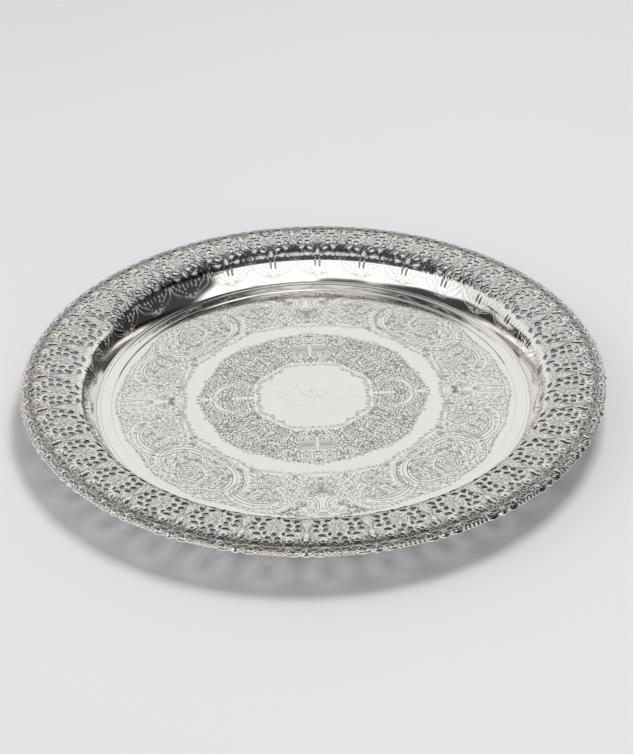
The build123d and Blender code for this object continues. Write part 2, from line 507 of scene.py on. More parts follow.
@dataclass
class Burin:
    """Collects engraved strokes and turns them into shallow V-shaped cuts laid on a surface."""

    brim: float = 0.045
    keel: float = 0.012
    strokes: list[tuple[np.ndarray, float, bool]] = field(default_factory=list)
    kept_clear: list[np.ndarray] = field(default_factory=list)

    def cut(self, path: np.ndarray | Sequence[Point], width: float, blunt: bool = False) -> None:
        """Adds one stroke.

        Args:
            path: Its line.
            width: Its width at the widest.
            blunt: Whether its ends keep their width instead of tapering.
        """
        self.strokes.append((np.asarray(path, float), width, blunt))

    def keep_clear(self, path: np.ndarray) -> None:
        """Marks places that the ground's small leaves leave free."""
        self.kept_clear.append(np.asarray(path, float))

    def ring(self, centre: Point, radius: float, width: float) -> None:
        """Adds a circle.

        Args:
            centre: Its middle.
            radius: Its radius.
            width: The width of its line.
        """
        angle = np.linspace(0.0, TURN, max(12, int(radius * 7)) + 1)
        self.cut(np.stack([centre[0] + radius * np.cos(angle), centre[1] + radius * np.sin(angle)], 1),
                 width, True)

    def leaf(self, base: Point, degrees: float, length: float, width: float, line: float,
             veins: int = 0) -> None:
        """Adds a leaf: two edges, a midrib and veins.

        Args:
            base: Where the leaf grows from.
            degrees: The way it points.
            length: Its length.
            width: Its width.
            line: The width of its lines.
            veins: How many veins stand on each side of its midrib.
        """
        for side in (-1, 1):
            edge = np.array([(0, 0), (0.3, side * 0.42), (0.65, side * 0.42), (1, 0)])
            edge *= (length, width)
            path = smooth_path([tuple(p) for p in turned(edge, degrees) + base], max(0.6, length / 4))
            self.cut(path, line)
        if veins:
            tip = turned(np.array([(length * 0.8, 0.0)]), degrees)[0] + base
            self.cut(smooth_path([base, tuple(tip)], 1.2), line * 0.8)
            for i in range(veins):
                start = (0.2 + 0.55 * i / veins) * length
                for side in (-1, 1):
                    vein = np.array([(start, 0), (start + 0.16 * length, side * 0.3 * width)])
                    self.cut(turned(vein, degrees) + base, line * 0.7)

    def rosette(self, centre: Point, radius: float, petals: int, line: float, tilt: float = 0.0) -> None:
        """Adds a flower with scalloped petals round a shaded ring and a boss.

        Args:
            centre: Its middle.
            radius: Its outer radius.
            petals: How many petals it has.
            line: The width of its lines.
            tilt: How far it is turned, in degrees.
        """
        angle = np.linspace(0.0, TURN, petals * 9 + 1)
        lobes = np.abs(np.sin(petals * (angle - math.radians(tilt)) / 2)) ** 0.6
        rings = ((1.0, 1.3, 0.16), (0.78, 0.8, 0.12), (0.55, 1.1, 0.10))
        for share, width, wave in rings if radius > 5.5 else rings[::2]:
            reach = radius * share * (1.0 - wave + wave * lobes)
            self.cut(np.stack([centre[0] + reach * np.cos(angle), centre[1] + reach * np.sin(angle)], 1),
                     line * width, True)
        for i in range(petals):
            middle = tilt + 360.0 * i / petals
            start, end = polar(radius * 0.55, middle), polar(radius * 0.86, middle)
            self.cut([np.add(centre, start), np.add(centre, end)], line * 1.1)
        rays = petals * 4 if radius > 5.5 else petals
        for i in range(rays):
            turn = 360.0 * (i + 0.5) / rays
            inner, outer = polar(radius * 0.24, turn), polar(radius * 0.47, turn)
            self.cut([np.add(centre, inner), np.add(centre, outer)], line * 0.9)
        self.ring(centre, radius * 0.2, line)
        self.ring(centre, radius * 0.07, line * 1.2)
        fill = [np.add(centre, polar(radius * share, turn)) for share in (0.25, 0.6, 0.95)
                for turn in range(0, 360, 20)]
        self.keep_clear(np.array(fill))

    def scroll(self, points: Sequence[Point], band: float, line: float, side: int,
               curls: tuple[float, float] = (1.0, 1.0), leafy: bool = True) -> None:
        """Adds a C-scroll: a bright band between two lines, curled in at its ends.

        Args:
            points: The points its outer line passes through.
            band: The band's width in the middle.
            line: The width of its lines.
            side: 1 if it curls to the left of its direction, -1 to the right.
            curls: The size of the curl at its start and at its end.
            leafy: Whether small scallops follow its outer line.
        """
        spine = smooth_path(points, 0.9)
        share = np.linspace(0.0, 1.0, len(spine))
        swell = band * (0.35 + 0.65 * np.sin(math.pi * share))
        self.cut(spine, line * 1.45, True)
        inner = offset_path(spine, side * swell)
        self.cut(inner, line, True)
        if curls[1] > 0:
            self.cut(curl_from(spine, band * 0.8 * curls[1], 1.15, side), line * 1.25)
        if curls[0] > 0:
            self.cut(curl_from(spine[::-1], band * 0.8 * curls[0], 1.15, -side), line * 1.25)
        for i in range(1, len(spine) - 1):
            if i % 2:
                step = side_normals(spine)[i] * side * swell[i] * 0.24
                self.cut([spine[i], spine[i] + step], line * 0.5)
        if leafy:
            edge = offset_path(spine, -side * band * 0.55)
            count = max(3, int(len(edge) / 3.2))
            for i in range(count):
                a = edge[int(i * (len(edge) - 1) / count)]
                b = edge[int((i + 1) * (len(edge) - 1) / count)]
                push = (a + b) / 2 + (a - spine[int(i * (len(spine) - 1) / count)]) * 0.9
                self.cut(smooth_path([tuple(a), tuple(push), tuple(b)], 0.8), line * 0.9)
        self.keep_clear(spine)
        self.keep_clear(inner)
        self.keep_clear(offset_path(spine, side * swell * 0.5))

    def lattice(self, low: Point, high: Point, pitch: float, line: float) -> None:
        """Adds crossed slanting lines inside a rectangle.

        Args:
            low: The rectangle's low corner.
            high: Its high corner.
            pitch: The distance between neighbouring lines along its foot.
            line: The width of a line.
        """
        width, height = high[0] - low[0], high[1] - low[1]
        for lean in (-1, 1):
            start = -height
            while start < width:
                ends = []
                for share in np.linspace(0, 1, 25):
                    x = low[0] + start + share * height
                    if low[0] <= x <= high[0]:
                        y = share if lean > 0 else 1 - share
                        ends.append((x, low[1] + y * height))
                if len(ends) > 2:
                    self.cut([ends[0], ends[-1]], line, True)
                start += pitch
        grid = [(x, y) for x in np.arange(low[0], high[0] + 0.1, 1.2)
                for y in np.arange(low[1], high[1] + 0.1, 1.2)]
        self.keep_clear(np.array(grid))

    def ground(self, inside: Callable[[np.ndarray], np.ndarray], box: tuple[float, float, float, float],
               spacing: float, line: float, rng: random.Random, clear: float,
               flow: Callable[[np.ndarray], float]) -> None:
        """Fills what the motifs leave free with small leaves and commas.

        Args:
            inside: Tells which points lie in the region.
            box: The region's low x, low y, high x and high y.
            spacing: The distance between neighbours.
            line: The width of a line.
            rng: The seeded source of small differences.
            clear: How far the ground stays from the motifs.
            flow: The angle that the leaves follow at a point, in degrees.
        """
        rows = np.arange(box[1], box[3], spacing * 0.866)
        places = []
        for j, y in enumerate(rows):
            for x in np.arange(box[0] + (j % 2) * spacing / 2, box[2], spacing):
                places.append((x + rng.uniform(-0.3, 0.3) * spacing, y + rng.uniform(-0.3, 0.3) * spacing))
        spots = np.array(places)
        spots = spots[inside(spots)]
        if self.kept_clear:
            spots = spots[near_distance(spots, np.vstack(self.kept_clear)) > clear]
        for spot in spots:
            lean = flow(spot) + rng.uniform(-55, 55)
            size = spacing * rng.uniform(0.85, 1.3)
            if rng.random() < 0.55:
                self.leaf(tuple(spot), lean, size, size * 0.48, line)
            else:
                bend = rng.choice((-1, 1)) * size * 0.32
                comma = np.array([(0, 0), (0.35 * size, bend), (0.8 * size, bend * 0.7),
                                  (size, -bend * 0.4)])
                self.cut(smooth_path([tuple(p) for p in turned(comma, lean) + spot], size / 3), line * 1.3)

    def mesh(self, lay: Callable[[np.ndarray, np.ndarray], np.ndarray],
             flip: bool = False) -> tuple[np.ndarray, list[tuple[int, ...]]]:
        """Turns the strokes into V-shaped cuts.

        Args:
            lay: Lays flat points, with their height above the surface, on the surface.
            flip: Whether the faces are turned over, for a mirrored copy.

        Returns:
            The points in millimetres and the faces.
        """
        flat, lift, faces = [], [], []
        count = 0
        for path, width, blunt in self.strokes:
            n = len(path)
            if n < 2:
                continue
            share = np.linspace(0.0, 1.0, n)
            swell = np.ones(n) if blunt else 0.25 + 0.75 * np.sin(math.pi * np.clip(share, 0.02, 0.98))
            reach = side_normals(path) * (width / 2 * swell)[:, None]
            flat.append(np.stack([path + reach, path, path - reach], 1).reshape(-1, 2))
            lift.append(np.tile([self.brim, self.keel, self.brim], n))
            for i in range(n - 1):
                a = count + 3 * i
                for k in (0, 1):
                    quad = (a + k, a + k + 1, a + k + 4, a + k + 3)
                    faces.append(quad[::-1] if flip else quad)
            count += 3 * n
        return lay(np.vstack(flat), np.concatenate(lift)), faces


# ---------------------------------------------------------------------------------------------
# Sizes of the plate, as the CAD has them
# ---------------------------------------------------------------------------------------------


@dataclass(frozen=True)
class PlateSizes:
    """The sizes that the visual pieces share, in millimetres."""

    overall_radius: float
    floor_height: float
    lip_top: float
    floor_radius: float = 138.8
    step_radius: float = 146.4
    lip_radius: float = 153.0
    border_sheet: float = 0.9
    foot_radius: float = 149.3
    wall_length: float = 14.0
    wall_angle: float = 63.0
    wall_swell: float = 0.35
    knee_radius: float = 14.0
    crown_start: float = 19.0
    crown_end: float = 12.7
    edge_radius: float = 196.6
    mount_inner: float = 192.6
    repeats: int = 29
    border_turn: float = -0.8

    @property
    def pitch(self) -> float:
        """The angle of one repeat of the border, in degrees."""
        return 360.0 / self.repeats

    @classmethod
    def from_frame(cls) -> "PlateSizes":
        """Takes the overall sizes from the CAD nodes' boxes.

        Returns:
            The sizes.
        """
        low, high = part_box("rim_mount")
        wire_low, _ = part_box("joint_wire")
        return cls(overall_radius=(high[0] - low[0]) / 2 / MM, floor_height=1.2,
                   lip_top=wire_low[2] / MM)


@dataclass(frozen=True)
class BorderSection:
    """The line that the border's face follows, from the foot of its wall to its outer edge."""

    sizes: PlateSizes

    @property
    def turns(self) -> tuple[float, float, float, float]:
        """Where the bend ends.

        Returns:
            The slopes of the wall and of the crown's start, in radians, and the radius and the height at
            which the bend turns into the crown.
        """
        z = self.sizes
        wall, crown = math.radians(z.wall_angle), math.radians(z.crown_start)
        top_r = z.foot_radius + z.wall_length * math.cos(wall)
        top_z = z.lip_top + z.wall_length * math.sin(wall)
        end_r = top_r + z.knee_radius * (math.sin(wall) - math.sin(crown))
        end_z = top_z + z.knee_radius * (math.cos(crown) - math.cos(wall))
        return wall, crown, end_r, end_z

    @property
    def crown_radius(self) -> float:
        """Works out the crown's arc from where the bend ends to the border's edge.

        Returns:
            The radius of the arc.
        """
        _, crown, end_r, _ = self.turns
        spread = math.sin(crown) + math.sin(math.radians(self.sizes.crown_end))
        return (self.sizes.edge_radius - end_r) / spread

    @property
    def knee_length(self) -> float:
        """The bend's length along the face."""
        wall, crown, _, _ = self.turns
        return self.sizes.knee_radius * (wall - crown)

    @property
    def length(self) -> float:
        """The whole length along the face."""
        _, crown, _, _ = self.turns
        return self.sizes.wall_length + self.knee_length + self.crown_radius * (
            crown + math.radians(self.sizes.crown_end))

    def place(self, along: np.ndarray, lift: np.ndarray | float = 0.0) -> tuple[np.ndarray, np.ndarray]:
        """Radius and height of places along the face.

        Args:
            along: How far along the face from its foot.
            lift: How far off the face.

        Returns:
            The radii and the heights.
        """
        z = self.sizes
        wall, crown, end_r, end_z = self.turns
        along = np.asarray(along, float)
        big = self.crown_radius
        in_knee = np.clip(along - z.wall_length, 0.0, self.knee_length)
        in_crown = np.maximum(along - z.wall_length - self.knee_length, 0.0)
        in_wall = np.minimum(along, z.wall_length)
        slope = wall - in_knee / z.knee_radius - in_crown / big
        r = z.foot_radius + in_wall * math.cos(wall)
        h = z.lip_top + in_wall * math.sin(wall)
        knee_slope = wall - in_knee / z.knee_radius
        r = r + z.knee_radius * (math.sin(wall) - np.sin(knee_slope))
        h = h + z.knee_radius * (np.cos(knee_slope) - math.cos(wall))
        crown_slope = crown - in_crown / big
        r = r + big * (math.sin(crown) - np.sin(crown_slope)) * (in_crown > 0)
        h = h + big * (np.cos(crown_slope) - math.cos(crown)) * (in_crown > 0)
        swell = z.wall_swell * np.sin(math.pi * np.clip(along / z.wall_length, 0.0, 1.0))
        off = swell + lift
        return r - np.sin(slope) * off, h + np.cos(slope) * off

    def along_at(self, radius: float) -> float:
        """How far along the face a radius lies."""
        steps = np.linspace(0.0, self.length, 600)
        return float(np.interp(radius, self.place(steps)[0], steps))


# ---------------------------------------------------------------------------------------------
# The well and the wire
# ---------------------------------------------------------------------------------------------


@dataclass
class WellPlate:
    """The flat floor, the polished step round it and the lip that carries the border."""

    sizes: PlateSizes
    floor_rings: int = 10
    # the step's section, as shares of its width and of its rise
    step: tuple[Point, ...] = (
        (0.012, -0.04), (0.025, -0.09), (0.042, -0.04), (0.055, 0.12), (0.085, 0.58), (0.10, 0.72),
        (0.125, 0.77), (0.145, 0.783), (0.16, 0.785), (0.40, 0.82), (0.70, 0.86), (0.868, 0.884),
        (0.88, 0.886), (0.90, 0.92), (0.92, 0.97), (0.95, 0.99), (1.0, 1.0))
    edge_ring: float = 0.12

    def build(self) -> bpy.types.Object:
        """Spins the well from its section.

        Returns:
            The well.
        """
        z = self.sizes
        rise = z.lip_top - z.floor_height
        top: list[Point] = [(z.floor_radius * i / self.floor_rings, z.floor_height)
                            for i in range(self.floor_rings + 1)]
        # a ring close to the floor's edge keeps the floor's shading flat
        top.insert(-1, (z.floor_radius - self.edge_ring, z.floor_height))
        width = z.step_radius - z.floor_radius
        for share, climb in self.step:
            top.append((z.floor_radius + width * share, z.floor_height + rise * climb))
        groove = [(z.step_radius + 0.12, z.lip_top - 0.16), (z.step_radius + 0.26, z.lip_top - 0.02),
                  (z.lip_radius - 0.2, z.lip_top), (z.lip_radius, z.lip_top - 0.25),
                  (z.lip_radius, rise + 0.25), (z.lip_radius - 0.2, rise)]
        under = [(z.step_radius, rise)]
        for i in range(1, 9):
            share = 1 - i / 8
            under.append((z.floor_radius + width * share, rise * share * share * (3 - 2 * share)))
        base = [(z.floor_radius * i / self.floor_rings, 0.0) for i in range(self.floor_rings - 1, -1, -1)]
        return spin_section("well", top + groove + under + base)

    def dress(self, piece: bpy.types.Object, finish: bpy.types.Material) -> None:
        """Gives the well its finish and puts it in place of the CAD node.

        Args:
            piece: The well.
            finish: Its finish.
        """
        settle(piece, finish, 50)
        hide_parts("well_plate")


@dataclass
class JointWire:
    """The half-round wire at the foot of the wall."""

    sizes: PlateSizes
    inner: float = 146.7
    width: float = 2.4
    height: float = 1.0

    def build(self) -> bpy.types.Object:
        """Spins the wire from a half-round section with soft corners.

        Returns:
            The wire.
        """
        z = self.sizes
        outer = self.inner + self.width
        section: list[Point] = [(outer, z.lip_top), (outer, z.lip_top + 0.15)]
        for i in range(11):
            turn = math.pi * i / 10
            section.append((self.inner + self.width / 2 + self.width / 2 * math.cos(turn),
                            z.lip_top + 0.2 + (self.height - 0.2) * math.sin(turn)))
        section += [(self.inner, z.lip_top + 0.15), (self.inner, z.lip_top)]
        return spin_section("wire", section, closed=True)

    def dress(self, piece: bpy.types.Object, finish: bpy.types.Material) -> None:
        """Gives the wire its finish and puts it in place of the CAD node.

        Args:
            piece: The wire.
            finish: Its finish.
        """
        settle(piece, finish, 50)
        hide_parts("joint_wire")


# ---------------------------------------------------------------------------------------------
# The border
# ---------------------------------------------------------------------------------------------


@dataclass(frozen=True)
class Piercing:
    """One punched opening, placed by its radius and its angle off the middle of a repeat."""

    radius: float
    off: float
    length: float
    width: float
    slant: float
    bend: float = 0.0
    skew: float = 1.0
    paired: bool = True


@dataclass
class BorderSheet:
    """The pierced and chased border, one repeat of which is drawn flat, laid on the section and copied.

    The flat drawing's first coordinate runs round the plate, as an arc at flat_radius, and its second
    runs up the section from the foot.
    """

    sizes: PlateSizes
    section: BorderSection
    grain: float = 0.62
    wall_grain: float = 1.3
    flat_radius: float = 177.0
    # the relief is chased higher on the bend, inside bend_end
    bend_end: float = 173.0
    flower_radius: float = 188.0
    flower_off: float = 3.1
    flower_reach: float = 3.0
    leaf_radius: float = 187.0
    leaf_half_width: float = 2.0
    leaf_height: float = 0.40
    tallest: float = 0.65
    # the leafy scrolls: angle off the middle, swing, waves and start
    scrolls: tuple[tuple[float, float, float, float], ...] = (
        (3.45, 0.55, 3.2, 0.4), (5.25, 0.35, 4.1, 1.2), (1.35, 0.45, 3.6, 2.2))
    piercings: tuple[Piercing, ...] = (
        Piercing(156.3, 0.62, 5.8, 1.15, 0, 0.0, 1.0),
        Piercing(163.0, 0.0, 6.4, 2.3, 0, 0.0, 1.0, False),
        Piercing(161.6, 2.70, 5.6, 2.8, 74, -0.75, 1.1),
        Piercing(166.8, 1.90, 4.8, 3.1, 54, -0.40, 1.1),
        Piercing(168.1, 4.10, 5.4, 3.1, -26, 0.30, 0.70),
        Piercing(172.6, 2.60, 4.4, 3.0, 26, 0.15, 1.1),
        Piercing(173.7, 4.40, 3.9, 2.9, -30, 0.15, 0.80),
        Piercing(177.8, 2.60, 4.3, 2.9, 24, 0.15, 1.0),
        Piercing(178.5, 4.45, 3.6, 3.4, 4, 0.0, 1.7),
        Piercing(182.2, 1.85, 3.1, 1.9, 10, 0.1, 1.0),
        Piercing(182.8, 0.0, 3.8, 3.1, 0, 0.0, 1.6, False),
        Piercing(183.9, 3.25, 4.8, 2.0, 90, -0.85, 1.0),
        Piercing(187.0, 0.92, 3.5, 2.4, 74, -0.45, 1.0),
        Piercing(190.9, 1.00, 3.6, 2.0, -50, 0.2, 1.0),
        Piercing(192.0, 3.15, 4.8, 1.6, 90, 0.60, 1.0),
    )

    def outlines(self) -> list[np.ndarray]:
        """Draws the outlines of one repeat's openings.

        Returns:
            The closed outlines in flat coordinates.
        """
        found = []
        for hole in self.piercings:
            base = drop_outline(hole.length, hole.width, hole.bend, hole.skew)
            base = turned(base, 90.0 - hole.slant)
            radius = hole.radius
            along = self.section.along_at(radius)
            stretch = self.flat_radius / radius
            for side in (1, -1) if hole.paired else (1,):
                loop = base * (side, 1.0)
                shift = side * math.radians(hole.off) * self.flat_radius
                found.append(np.stack([loop[:, 0] * stretch + shift, loop[:, 1] + along], 1))
        return found

    def relief(self, flat: np.ndarray, rims: np.ndarray) -> tuple[np.ndarray, np.ndarray]:
        """Height of the chasing and depth in its hollows.

        Args:
            flat: Flat points of one repeat.
            rims: Points on the openings' outlines.

        Returns:
            The heights off the sheet, and how deep in a hollow each point lies, 0 to 1.
        """
        x, s = np.abs(flat[:, 0]), flat[:, 1]
        deg = x / self.flat_radius * 180 / math.pi
        radius = self.section.place(s)[0]
        gap = near_distance(flat, rims)
        bend = fade(self.bend_end - radius, 3.0)
        height = (0.13 + 0.08 * bend) * ridge(gap - 0.5, 0.38)
        height -= 0.06 * ridge(gap - 1.35, 0.35)

        # flowers: six petals round a boss
        u = arc_length(deg - self.flower_off, radius)
        v = radius - self.flower_radius
        rho, phi = np.hypot(u, v), np.arctan2(v, u)
        flower = rho < self.flower_reach
        petals = 0.30 * np.clip(1 - (rho / 3.1) ** 2, 0, 1) ** 0.35 * (0.65 + 0.35 * np.cos(6 * phi))
        petals += 0.32 * ridge(rho, 0.75) - 0.30 * ridge(rho - 1.35, 0.22)
        height = np.where(flower, np.maximum(petals, height * 0.4), height)
        # the smooth pear-shaped leaf between two repeats, longer towards the middle of the plate
        leaf_x = arc_length(self.sizes.pitch / 2 - deg, radius)
        leaf_reach = np.where(radius < self.leaf_radius, 5.6, 3.2)
        taper = np.clip(1 - ((radius - self.leaf_radius) / leaf_reach) ** 2, 0, 1) ** 0.8
        leaf_wide = self.leaf_half_width * taper
        dome = np.clip(1 - (leaf_x / np.maximum(leaf_wide, 0.05)) ** 2, 0, 1) ** 0.28
        leaf = self.leaf_height * dome * (leaf_wide > 0.12)
        height = np.maximum(height, leaf)
        height -= 0.16 * ridge(leaf_x - leaf_wide - 0.45, 0.30) * (radius > 180.5) * (radius < 190.6)
        # leafy scrolls that wind between the openings
        scrolled = (radius > 158.5) & (radius < 192)
        for base, swing, waves, start in self.scrolls:
            run = base + swing * np.sin(waves * (radius - 164) / 4.2 + start)
            vine = (0.08 + 0.07 * bend) * ridge(arc_length(deg - run, radius), 0.42)
            height += np.where(scrolled, vine, 0)
        # fine ground between the motifs, left out on the smooth leaf, the flowers and the wall
        fine = np.sin(flat[:, 0] * 3.9 + 1.7 * np.sin(s * 2.1)) * np.sin(s * 4.3 + 1.3 * np.sin(x * 2.7))
        ground = fade(radius - 157.6, 1.6) * (leaf < 0.1) * (~flower)
        height += (0.034 + 0.062 * bend) * fine * ground
        # the relief dies out down the wall and towards the rim mount
        wall = fade(radius - 156.6, 2.0)
        height = height * np.where(gap < 2.0, np.maximum(wall, 0.35), wall)
        height = np.minimum(height * fade(195.8 - radius, 1.5), self.tallest)
        # tarnish stays in the low places, at the openings' rims and, a little, near the mount
        hollow = np.clip(0.30 - height * 2.2, 0, 1) * fade(radius - 158.0, 3.0)
        hollow = np.maximum(hollow, np.clip(1.1 - gap / 0.32, 0, 1) * 0.9)
        hollow += 0.25 * fade(radius - 187.0, 5.0)
        hollow = np.where(leaf > 0.2, 0.0, hollow)
        return height, np.clip(hollow, 0, 1)

    def cell(self) -> tuple[np.ndarray, np.ndarray, list[list[int]]]:
        """Draws one repeat flat and fills it with triangles that leave its openings free.

        Returns:
            Its points, the points on its openings' rims and its faces.
        """
        half = math.radians(self.sizes.pitch / 2) * self.flat_radius
        end = self.section.length - 0.6
        loops = self.outlines()
        rims = np.vstack(loops)
        points: list[Point] = []
        edges: list[tuple[int, int]] = []
        levels = list(np.arange(0.0, self.sizes.wall_length - 1.0, self.wall_grain))
        levels += list(np.linspace(self.sizes.wall_length - 1.0, end, int((end - 13) / self.grain)))
        across = np.linspace(-half, half, int(2 * half / self.grain) + 1)
        coarse = np.linspace(-half, half, int(2 * half / self.wall_grain) + 1)
        border = [(x, 0.0) for x in coarse] + [(half, y) for y in levels[1:]]
        border += [(x, end) for x in across[::-1][1:]] + [(-half, y) for y in levels[::-1][1:-1]]
        points += border
        edges += [(i, (i + 1) % len(border)) for i in range(len(border))]
        for loop in loops:
            start = len(points)
            points += [tuple(p) for p in loop]
            edges += [(start + i, start + (i + 1) % len(loop)) for i in range(len(loop))]
        inner: list[Point] = []
        for j, y in enumerate(levels[1:-1]):
            row = coarse if y < self.sizes.wall_length - 1.0 else across
            shift = (j % 2) * (row[1] - row[0]) / 2
            inner += [(x + shift, y) for x in row[1:-1]]
        spots = np.array(inner)
        spots = spots[(np.abs(spots[:, 0]) < half - 0.25)
                      & (near_distance(spots, rims) > self.grain * 0.55)]
        keep = np.ones(len(spots), bool)
        for loop in loops:
            keep &= ~self.within(spots, loop)
        points += [tuple(p) for p in spots[keep]]
        found = delaunay_2d_cdt([Vector(p) for p in points], edges, [], 0, 1e-6, False)
        flat = np.array([tuple(v) for v in found[0]])
        faces = np.array(found[2])
        middles = flat[faces].mean(1)
        solid = np.ones(len(faces), bool)
        for loop in loops:
            solid &= ~self.within(middles, loop)
        faces = faces[solid]
        a, b, c = flat[faces[:, 0]], flat[faces[:, 1]], flat[faces[:, 2]]
        area = (b[:, 0] - a[:, 0]) * (c[:, 1] - a[:, 1]) - (b[:, 1] - a[:, 1]) * (c[:, 0] - a[:, 0])
        faces = np.where((area > 0)[:, None], faces[:, ::-1], faces)
        used = np.unique(faces)
        renumber = np.full(len(flat), -1)
        renumber[used] = np.arange(len(used))
        return flat[used], rims, renumber[faces].tolist()

    @staticmethod
    def within(places: np.ndarray, loop: np.ndarray) -> np.ndarray:
        """Finds the places that lie inside a closed outline.

        Args:
            places: The places.
            loop: The outline's points.

        Returns:
            Whether each place lies inside.
        """
        x, y = places[:, 0], places[:, 1]
        inside = np.zeros(len(places), bool)
        nxt = np.roll(loop, -1, 0)
        for (x1, y1), (x2, y2) in zip(loop, nxt):
            crossing = (y1 > y) != (y2 > y)
            with np.errstate(divide="ignore", invalid="ignore"):
                edge = (x2 - x1) * (y - y1) / (y2 - y1) + x1
            inside ^= crossing & (x < edge)
        return inside

    def lay(self, flat: np.ndarray, lift: np.ndarray, turn: float) -> np.ndarray:
        """Lays flat points on the section.

        Args:
            flat: The flat points.
            lift: How far each one stands off the face.
            turn: How far they are turned about the plate's axis, in degrees.

        Returns:
            The points in space.
        """
        r, h = self.section.place(flat[:, 1], lift)
        angle = flat[:, 0] / self.flat_radius + math.radians(turn)
        return np.stack([r * np.cos(angle), r * np.sin(angle), h], 1)

    def build(self, first: int, count: int, cell: tuple[np.ndarray, np.ndarray, list[list[int]]],
              heights: tuple[np.ndarray, np.ndarray]) -> bpy.types.Object:
        """Builds a run of repeats as one piece of sheet.

        Args:
            first: The first repeat's number.
            count: How many repeats it has.
            cell: The flat repeat.
            heights: Its relief and its hollows.

        Returns:
            The piece, with the sheet's thickness.
        """
        flat, _, faces = cell
        places, triangles = [], []
        for i in range(count):
            turn = self.sizes.border_turn + (first + i) * self.sizes.pitch
            places.append(self.lay(flat, heights[0], turn))
            triangles += [[v + i * len(flat) for v in face] for face in faces]
        piece = make_piece("border", np.vstack(places), triangles, np.tile(heights[1], count))
        for _ in range(3):
            piece.data.materials.append(None)
        only(piece)
        bpy.ops.object.mode_set(mode="EDIT")
        bpy.ops.mesh.select_all(action="SELECT")
        bpy.ops.mesh.remove_doubles(threshold=2e-5)
        bpy.ops.object.mode_set(mode="OBJECT")
        bpy.ops.object.modifier_add(type="SOLIDIFY")
        sheet = piece.modifiers[-1]
        sheet.thickness = self.sizes.border_sheet * MM
        sheet.offset = -1.0
        sheet.material_offset = 1
        # the openings' sides take the third finish, a near-black painted shade
        sheet.material_offset_rim = 2
        bpy.ops.object.modifier_apply(modifier=sheet.name)
        return piece


